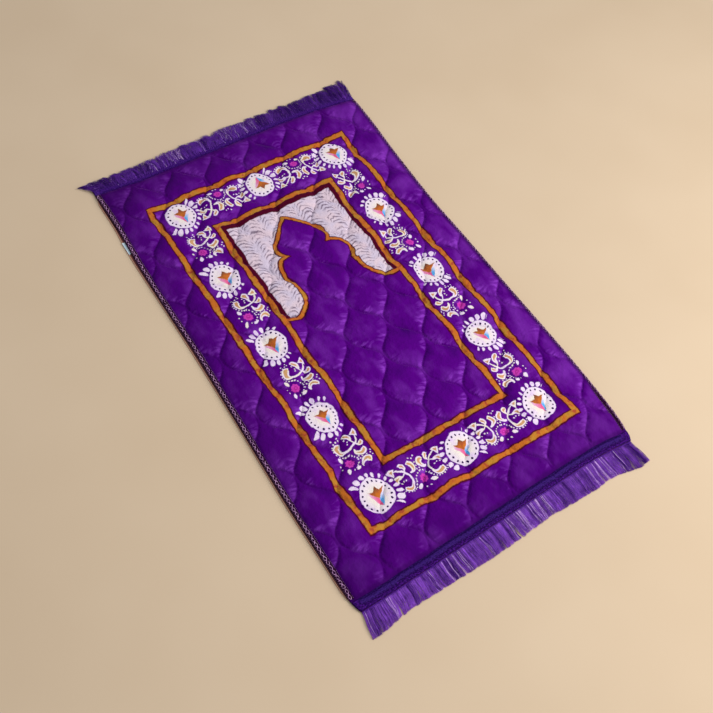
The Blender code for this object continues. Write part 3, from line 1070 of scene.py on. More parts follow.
@dataclass(frozen=True)
class RibbedTape:
    """Dark ribbed end tape.

    Attributes:
        name: Name of the material.
        deep: Colour of its grooves and low parts: painted shade.
        ridge: Colour of its bluish ridge.
        lip: Colour of its violet lip.
        gloss: Constant values of its shader.
    """

    name: str = "ribbed_tape"
    deep: Dye = dye(30, 2, 68)
    ridge: Dye = dye(56, 26, 108)
    lip: Dye = dye(78, 20, 130)
    gloss: Gloss = Gloss(0.0, 0.4, (0.7, 0.5, 1.0, 1.0), 0.04)

    def material(self, shades: Group, weave: Group) -> Material:
        """Build the material, with slanting ribs over a fine weave.

        Args:
            shades: The node group of uneven dye.
            weave: The node group of plain weave.

        Returns:
            The material.
        """
        dress = Dress(self.name, self.gloss)
        sheet = dress.sheet
        place = sheet.object_place()
        across, along, _ = sheet.parts(place)
        dyed = sheet.use_group(shades, Place=place, Run=across, Tone=0.5)
        woven = sheet.use_group(weave, Place=place, Threads=1100.0)
        slant = (across * (math.tau / 0.0041) + along * (math.tau / 0.0060)).sine()
        mottle = sheet.noise(sheet.vector("MULTIPLY", place, (260.0, 420.0, 0.0)), 1.0, 2.0)
        # Painted shade: the lower the tape, the more of the deep colour.
        raised = sheet.attribute(TONE_AND_PAINTED_LIGHT)
        light = raised.scaled(0.9, -0.06) + slant * 0.10 + mottle.scaled(3.4, -1.7)
        face = sheet.mix(sheet.attribute(MARGIN_SHADE_AND_RIDGE), self.lip, self.ridge)
        colour = sheet.mix(light, self.deep, face)
        height = slant * 0.4 + woven["Height"] * 0.3 + mottle
        return dress.finish(colour, dyed["Shade"].scaled(0.3, 0.5), sheet.bump(height, 0.6, 0.0006))


@dataclass(frozen=True)
class FringeYarn:
    """Loose violet yarn.

    Attributes:
        name: Name of the material.
        deep: Colour of dark yarns.
        mid: Colour of light yarns.
        pale: Colour of the glints: painted highlights.
        gloss: Constant values of its shader.
    """

    name: str = "fringe_yarn"
    deep: Dye = dye(72, 18, 130)
    mid: Dye = dye(178, 104, 238)
    pale: Dye = dye(236, 196, 255)
    gloss: Gloss = Gloss(0.0, 0.35, (0.8, 0.6, 1.0, 1.0), 0.12)

    def material(self, shades: Group) -> Material:
        """Build the material from each strand's own tone.

        Args:
            shades: The node group of uneven dye.

        Returns:
            The material.
        """
        dress = Dress(self.name, self.gloss)
        sheet = dress.sheet
        tone = sheet.attribute(TONE_AND_PAINTED_LIGHT)
        run = sheet.attribute(YARN_RUN)
        dyed = sheet.use_group(shades, Place=sheet.object_place(), Run=run, Tone=tone)
        colour = sheet.mix(tone + dyed["Shade"].scaled(0.8, -0.4), self.deep, self.mid)
        # Painted highlight: glinting yarns turn pale.
        glint = tone.scaled(10.0, -9.0) * dyed["Shade"].scaled(2.2, -0.4)
        colour = sheet.mix(glint, colour, self.pale)
        roughness = dyed["Shade"].scaled(0.3, 0.38)
        return dress.finish(colour, roughness, sheet.bump(dyed["Twist"], 0.35, 0.0003))


@dataclass(frozen=True)
class SewingThread:
    """Overlock threads, told apart by each thread's tone.

    Attributes:
        dark: Colour of the threads round the rim.
        pale: Colour of the threads that cross.
        gloss: Constant values of its shader.
    """

    dark: Dye = dye(44, 2, 34)
    pale: Dye = dye(212, 162, 212)
    gloss: Gloss = Gloss(0.0, 0.4, (1.0, 0.9, 1.0, 1.0), 0.1)

    def material(self, shades: Group) -> Material:
        """Build the material.

        Args:
            shades: The node group of uneven dye.

        Returns:
            The material.
        """
        dress = Dress("overlock_thread", self.gloss)
        sheet = dress.sheet
        tone = sheet.attribute(TONE_AND_PAINTED_LIGHT)
        run = sheet.attribute(YARN_RUN)
        dyed = sheet.use_group(shades, Place=sheet.object_place(), Run=run, Tone=tone)
        colour = sheet.mix(tone, self.dark, self.pale)
        hidden = sheet.noise(sheet.object_place(), 210.0, 1.0).scaled(4.0, -1.9)
        colour = sheet.mix(dyed["Shade"].scaled(-0.9, 0.6).at_least(hidden), colour, self.dark)
        roughness = dyed["Shade"].scaled(0.2, 0.55)
        return dress.finish(colour, roughness, sheet.bump(dyed["Twist"], 0.5, 0.0003))


@dataclass(frozen=True)
class BackingCloth:
    """Plain tan cloth: its body colours are darker as painted shade beside the pad, and its hem lighter as
    painted light.

    Attributes:
        dark: Colour of its low threads.
        light: Colour of its high threads.
        hem: Colour of its raised hem and of its strip past the right edge, lighter as painted light.
        gloss: Constant values of its shader.
    """

    dark: Dye = dye(96, 44, 52)
    light: Dye = dye(150, 92, 84)
    hem: Dye = dye(206, 158, 132)
    gloss: Gloss = Gloss(0.0, 0.5, (1.0, 0.95, 0.9, 1.0), 0.1)

    def material(self, weave: Group) -> Material:
        """Build the material from the weave's node group."""
        dress = Dress("backing_cloth", self.gloss)
        sheet = dress.sheet
        woven = sheet.use_group(weave, Place=sheet.object_place(), Threads=700.0)
        colour = sheet.mix(woven["Height"] * 0.4 + woven["Slub"] * 0.6, self.dark, self.light)
        # Painted light on the raised hem and on the strip past the right edge.
        colour = sheet.mix(sheet.attribute(TONE_AND_PAINTED_LIGHT), colour, self.hem)
        roughness = woven["Slub"].scaled(0.2, 0.75)
        return dress.finish(colour, roughness, sheet.bump(woven["Height"], 0.6, 0.0004))


@dataclass(frozen=True)
class TabSatin:
    """Pale blank satin."""

    light: Dye = dye(222, 238, 244)
    shade: Dye = dye(150, 190, 214)
    gloss: Gloss = Gloss(0.2, 0.3, (1.0, 1.0, 1.0, 1.0), 0.5)

    def material(self, weave: Group) -> Material:
        """Build the material from the weave's node group."""
        dress = Dress("tab_satin", self.gloss)
        sheet = dress.sheet
        woven = sheet.use_group(weave, Place=sheet.object_place(), Threads=2600.0)
        colour = sheet.mix(woven["Slub"].scaled(1.4, -0.35), self.light, self.shade)
        roughness = woven["Slub"].scaled(0.3, 0.3)
        return dress.finish(colour, roughness, sheet.bump(woven["Height"], 0.3, 0.0002))


@dataclass(frozen=True)
class StudioFloor:
    """Plain pale floor."""

    light: Dye = dye(212, 190, 162)
    shade: Dye = dye(204, 181, 152)
    gloss: Gloss = Gloss(0.0, 0.5, (1.0, 1.0, 1.0, 1.0), 0.2)

    def material(self) -> Material:
        """Build the material."""
        dress = Dress("studio_floor", self.gloss)
        sheet = dress.sheet
        clouds = sheet.noise(sheet.object_place(), 3.0, 2.0)
        grain = sheet.noise(sheet.object_place(), 400.0, 1.0)
        colour = sheet.mix(clouds, self.light, self.shade)
        return dress.finish(colour, clouds.scaled(0.1, 0.8), sheet.bump(grain, 0.1, 0.0005))


# --- Layout ----------------------------------------------------------------------------------


@dataclass(frozen=True)
class SmoothTable:
    """A smooth curve through a short table, held level past its ends.

    Attributes:
        places: Where the values hold.
        values: The values.
    """

    places: Table
    values: Table

    def at(self, place: Array | float) -> Array:
        """Read the curve.

        Args:
            place: Where to read it.

        Returns:
            Its values there.
        """
        places = np.asarray(self.places)
        values = np.asarray(self.values)
        where = np.asarray(place, dtype=float)
        last = len(places) - 1
        step = np.clip(np.searchsorted(places, where, side="left") - 1, 0, last - 1)
        before = np.maximum(step - 1, 0)
        after = np.minimum(step + 2, last)
        run = places[step + 1] - places[step]
        share = np.clip((where - places[step]) / run, 0.0, 1.0)
        slope_in = (values[step + 1] - values[before]) / (places[step + 1] - places[before]) * run
        slope_out = (values[after] - values[step]) / (places[after] - places[step]) * run
        square = share * share
        cube = square * share
        return (
            (2.0 * cube - 3.0 * square + 1.0) * values[step]
            + (cube - 2.0 * square + share) * slope_in
            + (3.0 * square - 2.0 * cube) * values[step + 1]
            + (cube - square) * slope_out
        )


@dataclass(frozen=True)
class Lattice:
    """Quilting lattice of ogee cells, as on the pad's solid.

    Attributes:
        cell_width: Width of a cell.
        cell_length: Length of a cell.
        middle: Place of the lattice on the rug.
        bend: How far the seams bow.
        seam_half_width: Half the least distance of two seams.
        first: Number of the leftmost seam.
        last: Number of the rightmost seam.
    """

    cell_width: float = 0.1025
    cell_length: float = 0.151
    middle: tuple[float, float] = (-0.002, 0.025)
    bend: float = 1.38
    seam_half_width: float = 0.0024
    first: int = -7
    last: int = 6

    def seam_x(self, index: int, along: Array) -> Array:
        """Across place of one winding seam.

        Args:
            index: The seam's number.
            along: Places along the rug.

        Returns:
            Places across the rug.
        """
        half = self.cell_width / 2.0
        steps = (self.middle[1] - along) / (self.cell_length / 2.0)
        whole = np.floor(steps)
        swing = (1.0 + np.cos(np.pi * (steps - whole) ** self.bend)) / 2.0
        share = np.where((whole + index) % 2 == 0, 1.0 - swing, swing)
        start = self.middle[0] + index * half + self.seam_half_width
        return start + share * (half - 2.0 * self.seam_half_width)


@dataclass
class RugLayout:
    """Edges of the rug's body, and where its layout lies in the frame.

    Attributes:
        tape_width: Width of an end tape.
        tab_middle: Place of the tab along the rug.
        tab_out: How far the tab stands out.
    """

    tape_width: float = 0.023
    tab_middle: float = 0.379
    tab_out: float = 0.005
    side_places: Table = (
        -0.600, -0.576, -0.560, -0.543, -0.520, -0.460, -0.320,
        -0.120, 0.060, 0.180, 0.330, 0.390, 0.450, 0.600,
    )
    left_values: Table = (
        -0.3360, -0.3410, -0.3465, -0.3500, -0.3505, -0.3515, -0.3520,
        -0.3490, -0.3455, -0.3475, -0.3475, -0.3450, -0.3435, -0.3470,
    )
    right_values: Table = (
        0.331, 0.331, 0.333, 0.341, 0.344, 0.349, 0.351, 0.347, 0.344, 0.341, 0.345, 0.348, 0.352, 0.355
    )
    proud_values: Table = (
        0.0010, 0.0010, 0.0020, 0.0030, 0.0030, 0.0025, 0.0030,
        0.0020, 0.0040, 0.0025, 0.0045, 0.0055, 0.0040, 0.0030,
    )
    end_places: Table = (-0.380, -0.250, -0.140, 0.010, 0.160, 0.260, 0.380)
    near_values: Table = (-0.549, -0.545, -0.540, -0.533, -0.527, -0.525, -0.534)
    far_values: Table = (0.549, 0.541, 0.544, 0.550, 0.555, 0.554, 0.545)
    offset: Vector = field(init=False)

    def __post_init__(self) -> None:
        """Read the curves, and find the layout in the frame from the tab's solid."""
        self.left = SmoothTable(self.side_places, self.left_values)
        self.right = SmoothTable(self.side_places, self.right_values)
        self.proud = SmoothTable(self.side_places, self.proud_values)
        self.lines = {
            End.NEAR: SmoothTable(self.end_places, self.near_values),
            End.FAR: SmoothTable(self.end_places, self.far_values),
        }
        low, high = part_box("edge_tab")
        layout_low = float(self.left.at(self.tab_middle)) - self.tab_out
        self.offset = Vector((low.x - layout_low, (low.y + high.y) / 2.0 - self.tab_middle, 0.0))

    def edge(self, side: Side, along: Array) -> Array:
        """Across place of the pad's left or right edge."""
        return (self.left if side is Side.LEFT else self.right).at(along)

    def end_line(self, end: End, across: Array, past: float = 0.0) -> Array:
        """Along place of the line where the pad meets a tape, or of a line past it."""
        return self.lines[end].at(across) + end.value * past

    def corners(self, end: End, past: Array | float) -> tuple[Array, Array]:
        """Across places of both long edges on a line past a tape's inner edge."""
        sides = (self.left, self.right)
        return tuple(side.at(self.end_line(end, float(side.at(0.0)), past)) for side in sides)

    def end_rise(self, across: Array, along: Array, reach: float) -> Array:
        """Share of the full height, from 0 at the tapes to 1 inside the body."""
        from_near = along - self.end_line(End.NEAR, across)
        from_far = self.end_line(End.FAR, across) - along
        return smooth_step(np.minimum(from_near, from_far) / reach)


@dataclass
class RugPiece:
    """A piece of the rug, built in the rug's layout and moved into the frame.

    Attributes:
        layout: The rug's edges, and where the layout lies in the frame.
    """

    layout: RugLayout

    def make(
        self,
        name: str,
        points: Array,
        faces: Faces,
        material: Material,
        numbers: dict[str, Array] | None = None,
    ) -> Piece:
        """Make a mesh piece at the origin, with its place in its mesh.

        Args:
            name: Name of the piece.
            points: Its points in the layout, one row each.
            faces: Point numbers of each face.
            material: Its material.
            numbers: Values that each point carries, by name.

        Returns:
            The new object.
        """
        mesh = bpy.data.meshes.new(name)
        mesh.from_pydata((points + np.array(self.layout.offset)).tolist(), [], faces)
        for label, values in (numbers or {}).items():
            carried = mesh.attributes.new(label, "FLOAT", "POINT")
            carried.data.foreach_set("value", np.ascontiguousarray(values, dtype=np.float32))
        mesh.materials.append(material)
        mesh.shade_smooth()
        mesh.update()
        piece = bpy.data.objects.new(name, mesh)
        bpy.context.scene.collection.objects.link(piece)
        return piece


def seat(piece: Piece, nodes: tuple[str, ...]) -> None:
    """Let a piece ride on the body and stand for its solids."""
    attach(piece, "root")
    if nodes:
        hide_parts(*nodes)


def noise_at(across: Array, along: Array, layer: Array) -> Array:
    """Read smooth noise.

    Args:
        across: First place of each point.
        along: Second place of each point.
        layer: Third place of each point.

    Returns:
        The noise at each point, from about -1 to 1.
    """
    rows = zip(across.ravel().tolist(), along.ravel().tolist(), layer.ravel().tolist())
    return np.array([noise.noise(Vector(row)) for row in rows]).reshape(across.shape)


def ring_of(rows: int, columns: int) -> list[tuple[int, int]]:
    """Row and column of each point round a grid's rim, anticlockwise from above."""
    ring = [(0, column) for column in range(columns)]
    ring += [(row, columns - 1) for row in range(1, rows)]
    ring += [(rows - 1, column) for column in range(columns - 2, -1, -1)]
    ring += [(row, 0) for row in range(rows - 2, 0, -1)]
    return ring


def band_faces(upper: list[int], lower: list[int]) -> Faces:
    """Faces between a closed loop of points and the loop below it."""
    count = len(upper)
    faces = []
    for index in range(count):
        after = (index + 1) % count
        faces.append((upper[index], lower[index], lower[after], upper[after]))
    return faces


# --- Pieces ----------------------------------------------------------------------------------


@dataclass
class VelvetPad(RugPiece):
    """Quilted velvet face with its filling.

    Attributes:
        lattice: The quilting.
        floor: Height of its underside.
        flange: Height under the tapes.
        seam: Height of a seam.
        crown: Height of a cell's middle.
        pitch: Distance of its points.
        rim_insets: Distances from a long edge of the points on its rolled rim.
        rim_heights: Heights there.
        under: Inset and height of the rings below the rim.
        end_reach: Length over which the face rises from a tape.
        fullness: How blunt the cells are; lower is blunter.
        settle_steps: How many rounds the filling takes to spread.
        print_middle: Place of the print's middle on the rug.
        print_turn: How far the print is turned, in radians.
    """

    lattice: Lattice
    floor: float = 0.0015
    flange: float = 0.0042
    seam: float = 0.0054
    crown: float = 0.0152
    pitch: float = 0.00305
    rim_insets: Table = (0.0, 0.0009, 0.0022, 0.0042, 0.0066, 0.0090)
    rim_heights: Table = (0.0046, 0.0060, 0.0068, 0.0069, 0.0062, 0.0057)
    under: Path = ((0.0010, 0.0030), (0.0040, 0.0019), (0.0090, 0.0015))
    end_reach: float = 0.024
    fullness: float = 0.60
    settle_steps: int = 1100
    print_middle: tuple[float, float] = (0.0054, -0.0001)
    print_turn: float = 0.0155

    def spread(self) -> tuple[Array, Array]:
        """Lay out the face's points.

        Returns:
            Across and along places, by row and column.
        """
        inner = self.rim_insets[-1]
        width = float(self.layout.right.at(0.0) - self.layout.left.at(0.0)) - 2.0 * inner
        columns = round(width / self.pitch)
        length = float(self.layout.end_line(End.FAR, 0.0) - self.layout.end_line(End.NEAR, 0.0))
        rows = round(length / self.pitch)
        tuck = self.layout.tape_width
        before = np.linspace(-tuck, 0.0, 6)[:-1]
        shares = np.concatenate([np.zeros(5), np.linspace(0.0, 1.0, rows + 1), np.ones(5)])
        pasts = np.concatenate([before, np.zeros(rows + 1), -before[::-1]])
        rim = np.array(self.rim_insets)
        offsets = np.concatenate([rim, np.full(columns - 1, inner), 2.0 * inner - rim[::-1]])
        spread = np.linspace(0.0, 1.0, columns + 1)[1:-1]
        spread = np.concatenate([np.zeros(len(rim)), spread, np.ones(len(rim))])
        along = np.linspace(-0.55, 0.55, len(shares))[:, None]
        for _ in range(3):
            left = self.layout.left.at(along)
            right = self.layout.right.at(along)
            across = left + offsets + spread * (right - left - 2.0 * inner)
            near = self.layout.end_line(End.NEAR, across)
            far = self.layout.end_line(End.FAR, across)
            along = near + shares[:, None] * (far - near) + pasts[:, None]
        return across, along

    def snap_to_seams(self, across: Array, along: Array) -> Array:
        """Move the nearest point of each row onto each seam.

        Args:
            across: Across places, changed here.
            along: Along places.

        Returns:
            A mask of the points on seams.
        """
        stitched = np.zeros(across.shape, dtype=bool)
        rim = len(self.rim_insets)
        rows = np.arange(across.shape[0])
        for index in range(self.lattice.first, self.lattice.last + 1):
            seam = self.lattice.seam_x(index, along)
            gap = np.abs(across - seam)
            gap[:, :rim] = 1.0
            gap[:, -rim:] = 1.0
            nearest = gap.argmin(axis=1)
            close = gap[rows, nearest] < 0.75 * self.pitch
            across[rows[close], nearest[close]] = seam[rows[close], nearest[close]]
            stitched[rows[close], nearest[close]] = True
        return stitched

    def seam_reading(self, across: Array, along: Array) -> tuple[Array, ...]:
        """Find the nearest seam of each point.

        Args:
            across: Across places.
            along: Along places.

        Returns:
            Distance to the seam, run along it, the seam's number, the side of it, and how far the
            way to it leads towards the near end.
        """
        step = 0.001
        places = np.arange(-0.60, 0.60, step)
        samples = []
        for index in range(self.lattice.first - 1, self.lattice.last + 2):
            seam = self.lattice.seam_x(index, places)
            runs = np.concatenate([[0.0], np.cumsum(np.hypot(np.diff(seam), step))])
            samples += [(x, y, run, index) for x, y, run in zip(seam, places, runs)]
        tree = kdtree.KDTree(len(samples))
        for number, (x, y, _, _) in enumerate(samples):
            tree.insert((x, y, 0.0), number)
        tree.balance()
        flat_across = across.ravel()
        flat_along = along.ravel()
        found = [tree.find((x, y, 0.0)) for x, y in zip(flat_across.tolist(), flat_along.tolist())]
        readings = np.array([(distance, *samples[number]) for _, number, distance in found])
        distance, seam_across, seam_along, run, number = readings.T.reshape(5, *across.shape)
        nearward = (along - seam_along) + 0.2 * (seam_across - across)
        return distance, run, number, np.sign(across - seam_across), nearward / np.maximum(distance, 0.001)

    def filled(self, held: Array) -> Array:
        """Let the filling push the face up between the points that are sewn down.

        Args:
            held: Mask of the points that are sewn down.

        Returns:
            The rise of each point, from 0 to about 1.
        """
        rise = np.zeros(held.shape)
        free = ~held[1:-1, 1:-1]
        for _ in range(self.settle_steps):
            around = rise[:-2, 1:-1] + rise[2:, 1:-1] + rise[1:-1, :-2] + rise[1:-1, 2:]
            rise[1:-1, 1:-1] = (around * 0.25 + 1.0) * free
        full = np.percentile(rise, 98.5)
        return np.clip(rise / full, 0.0, 1.08) ** self.fullness

    def puckers(self, distance: Array, run: Array, seam: Array, side: Array) -> Array:
        """Small gathers that run away from the seams and fade out.

        Args:
            distance: Distance to the seam.
            run: Run along it.
            seam: The seam's number.
            side: The side of it.

        Returns:
            Their height, from about -1 to 1.
        """
        wave = 0.0125
        fade = 0.015
        layer = 7.3 * seam + 2.9 * side
        swell = noise_at(run / wave, distance / 0.022, layer)
        return swell * np.exp(-distance / fade) * (distance / (distance + 0.002))

    def softness(self, across: Array, along: Array) -> Array:
        """Slow dips of the filling, from about -1 to 1."""
        broad = noise_at(across / 0.050, along / 0.034, np.full_like(across, 3.1))
        return broad + 0.6 * noise_at(across / 0.021, along / 0.014, np.full_like(across, 9.4))

    def heights(self, across: Array, along: Array, stitched: Array) -> tuple[Array, ...]:
        """Work out the height of each point of the face.

        Args:
            across: Across places.
            along: Along places.
            stitched: Mask of the points on seams.

        Returns:
            The heights, the distance to a seam, the run along it, and how far the border faces
            the near end.
        """
        rim = len(self.rim_insets)
        rise_share = self.layout.end_rise(across, along, self.end_reach)
        held = stitched.copy()
        held[:, :rim] = True
        held[:, -rim:] = True
        held |= rise_share <= 0.0
        held[0, :] = True
        held[-1, :] = True
        rise = self.filled(held)
        distance, run, seam, side, facing = self.seam_reading(across, along)
        base = self.flange + (self.seam - self.flange) * rise_share
        lift = (self.crown - self.seam) * rise
        lift += 0.0026 * self.puckers(distance, run, seam, side) * np.minimum(rise * 3.0, 1.0)
        lift += 0.0012 * self.softness(across, along) * rise
        height = base + np.maximum(lift, -0.0004)
        thin = (self.flange - self.floor) / (self.rim_heights[3] - self.floor)
        rim_share = thin + (1.0 - thin) * rise_share
        profile = np.array(self.rim_heights)
        height[:, :rim] = self.floor + (profile - self.floor) * rim_share[:, :rim]
        height[:, -rim:] = self.floor + (profile[::-1] - self.floor) * rim_share[:, -rim:]
        gap = distance + 0.02 * np.clip(1.0 - rise_share * 4.0, 0.0, 1.0)
        return height, gap, run, facing

    def margin_shade_and_ridge(self, across: Array, along: Array) -> Array:
        """Share of painted shade: in a strip by each seamed edge, and fading in from three edges, most
        towards the left.

        Args:
            across: Across places.
            along: Along places.

        Returns:
            The share at each point.
        """
        from_left = across - self.layout.left.at(along)
        from_right = self.layout.right.at(along) - across
        from_near = along - self.layout.end_line(End.NEAR, across)
        from_far = self.layout.end_line(End.FAR, across) - along
        light = np.ones(across.shape)
        for distance, reach, share in (
            (from_left, 0.075, 0.34),
            (from_near, 0.070, 0.30),
            (from_far, 0.085, 0.42 * np.clip(0.65 - across / 0.5, 0.25, 1.0)),
            (from_left, 0.013, 0.60),
            (from_right, 0.013, 0.50),
            (from_near, 0.008, 0.50),
            (from_far, 0.010, 0.40),
        ):
            light *= 1.0 - share * np.exp(-((np.maximum(distance, 0.0) / reach) ** 4))
        return 1.0 - light

    def face_triangles(self, height: Array) -> Faces:
        """Triangles of the face, split so that edges run along the valleys.

        Args:
            height: Heights of its points.

        Returns:
            Point numbers of the triangles.
        """
        rows, columns = height.shape
        number = np.arange(rows * columns).reshape(rows, columns)
        a = number[:-1, :-1].ravel()
        b = number[:-1, 1:].ravel()
        c = number[1:, 1:].ravel()
        d = number[1:, :-1].ravel()
        flat = height.ravel()
        valley = flat[a] + flat[c] < flat[b] + flat[d]
        first = np.where(valley[:, None], np.stack([a, b, c], 1), np.stack([a, b, d], 1))
        second = np.where(valley[:, None], np.stack([a, c, d], 1), np.stack([b, c, d], 1))
        return [tuple(row) for row in np.concatenate([first, second]).tolist()]

    def print_coordinates(self, points: Array) -> Array:
        """Place of each point on the print, in metres about the print's middle."""
        shifted = points[:, :2] - np.array(self.print_middle)
        cosine = math.cos(self.print_turn)
        sine = math.sin(self.print_turn)
        across = shifted[:, 0] * cosine + shifted[:, 1] * sine
        along = -shifted[:, 0] * sine + shifted[:, 1] * cosine
        return np.stack([across, along], axis=1)

    def build(self, material: Material) -> Piece:
        """Build the pad and dress it.

        Args:
            material: The velvet.

        Returns:
            The pad.
        """
        across, along = self.spread()
        stitched = self.snap_to_seams(across, along)
        height, gap, run, facing = self.heights(across, along, stitched)
        rows, columns = height.shape
        points = np.stack([across.ravel(), along.ravel(), height.ravel()], axis=1)
        faces = self.face_triangles(height)
        ring = ring_of(rows, columns)
        upper = [row * columns + column for row, column in ring]
        rim_top = points[upper]
        thin = self.layout.end_rise(rim_top[:, 0], rim_top[:, 1], self.end_reach)
        thin = 0.6 + 0.4 * thin
        into_x = np.array([(column == 0) * 1.0 - (column == columns - 1) * 1.0 for _, column in ring])
        into_y = np.array([(row == 0) * 1.0 - (row == rows - 1) * 1.0 for row, _ in ring])
        for inset, level in self.under:
            lower_points = rim_top.copy()
            lower_points[:, 0] += into_x * inset
            lower_points[:, 1] += into_y * min(inset, 0.0008)
            lower_points[:, 2] = self.floor + (level - self.floor) * thin
            lower = list(range(len(points), len(points) + len(ring)))
            points = np.concatenate([points, lower_points])
            faces += band_faces(upper, lower)
            upper = lower
        faces.append(tuple(reversed(upper)))
        below = np.ones(len(points) - rows * columns)
        carried = (
            (SEAM_GAP, gap, 0.02),
            (SEAM_RUN, run, 0.0),
            (SEAM_FACING, facing, 0.0),
            # Painted shade of the margins and of a strip along each seamed edge.
            (MARGIN_SHADE_AND_RIDGE, self.margin_shade_and_ridge(across, along), 1.0),
        )
        numbers = {name: np.append(face, value * below) for name, face, value in carried}
        pad = self.make("velvet_pad", points, faces, material, numbers)
        lay = pad.data.uv_layers.new(name=PRINT_MAP)
        corners = np.empty(len(pad.data.loops), dtype=np.int32)
        pad.data.loops.foreach_get("vertex_index", corners)
        places = self.print_coordinates(points)[corners]
        lay.uv.foreach_set("vector", places.astype(np.float32).ravel())
        seat(pad, ("quilted_pad",))
        return pad


@dataclass
class SheetGrid:
    """A thin closed sheet between two grids of points.

    Attributes:
        across: Across places, by row and column.
        along: Along places.
        high: Heights of the upper points.
        low: Heights of the lower points.
    """

    across: Array
    along: Array
    high: Array
    low: Array

    def shell(self) -> tuple[Array, Faces]:
        """Join the two grids into one closed shell.

        Returns:
            Its points and faces.
        """
        rows, columns = self.across.shape
        count = rows * columns
        number = np.arange(count).reshape(rows, columns)
        quads = np.stack([number[:-1, :-1], number[:-1, 1:], number[1:, 1:], number[1:, :-1]], -1)
        upper = quads.reshape(-1, 4)
        faces = [tuple(row) for row in upper.tolist()]
        faces += [tuple(row) for row in (upper[:, ::-1] + count).tolist()]
        rim = [row * columns + column for row, column in ring_of(rows, columns)]
        faces += band_faces(rim, [index + count for index in rim])
        flats = [np.stack([self.across, self.along, level], -1) for level in (self.high, self.low)]
        return np.concatenate(flats).reshape(-1, 3), faces


@dataclass
class Backing(RugPiece):
    """Plain cloth under the pad, which shows along the left edge.

    Attributes:
        thickness: Thickness of the cloth.
        right_inset: How far it stops short of the right edge, negative past it.
        left_extra: How far the hem's roll stands out past the cloth's left edge.
        hem_width: Half width of the raised hem along its left edge.
        hem_height: Height of that hem above the cloth.
    """

    thickness: float = 0.0012
    right_inset: float = -0.0012
    left_extra: float = 0.0012
    hem_width: float = 0.0012
    hem_height: float = 0.0011

    def build(self, material: Material) -> Piece:
        """Build the cloth and dress it.

        Args:
            material: The backing cloth.

        Returns:
            The sheet.
        """
        tuck = self.layout.tape_width
        shares = np.linspace(0.0, 1.0, 140)
        along = (-0.555 + 1.12 * shares)[:, None]
        spread = np.linspace(0.0, 1.0, 80)
        steps = np.array([0.0, 0.0007, 0.0014, 0.0022, 0.0031, 0.0042, 0.0058, 0.0080])
        spread = np.concatenate([steps, spread[1:-1], 1.0 - steps[::-1]])
        across = along * 0.0
        for _ in range(3):
            shown = self.layout.end_rise(across, along, 0.030)
            left = self.layout.left.at(along) + 0.001
            left -= (self.layout.proud.at(along) + self.left_extra + 0.001) * shown
            right = self.layout.right.at(along) - 0.001 - (self.right_inset - 0.001) * shown
            across = left + spread * (right - left)
            near = self.layout.end_line(End.NEAR, across, tuck)
            far = self.layout.end_line(End.FAR, across, tuck)
            along = near + shares[:, None] * (far - near)
        from_edge = np.minimum(across - left, right - across)
        rounding = np.sqrt(np.clip(from_edge / 0.0006, 0.0, 1.0))
        outside = np.clip((self.layout.left.at(along) - across) / 0.001 - 0.5, 0.0, 1.0)
        hem = np.exp(-(((across - left) / self.hem_width - 1.0) ** 2)) * outside
        right_hem = smooth_step((across - self.layout.right.at(along)) / 0.001 + 0.5)
        high = self.thickness * (0.55 + 0.45 * rounding) + self.hem_height * hem
        low = self.thickness * 0.25 * (1.0 - rounding)
        points, faces = SheetGrid(across, along, high, low).shell()
        # Painted light on the raised hem and on the strip past the right edge.
        pale = np.maximum(hem, right_hem).ravel()
        tones = {TONE_AND_PAINTED_LIGHT: np.concatenate([pale, pale])}
        piece = self.make("backing_cloth", points, faces, material, tones)
        seat(piece, ("backing",))
        size = (float(across.max() - across.min()), float(along.max() - along.min()))
        return piece


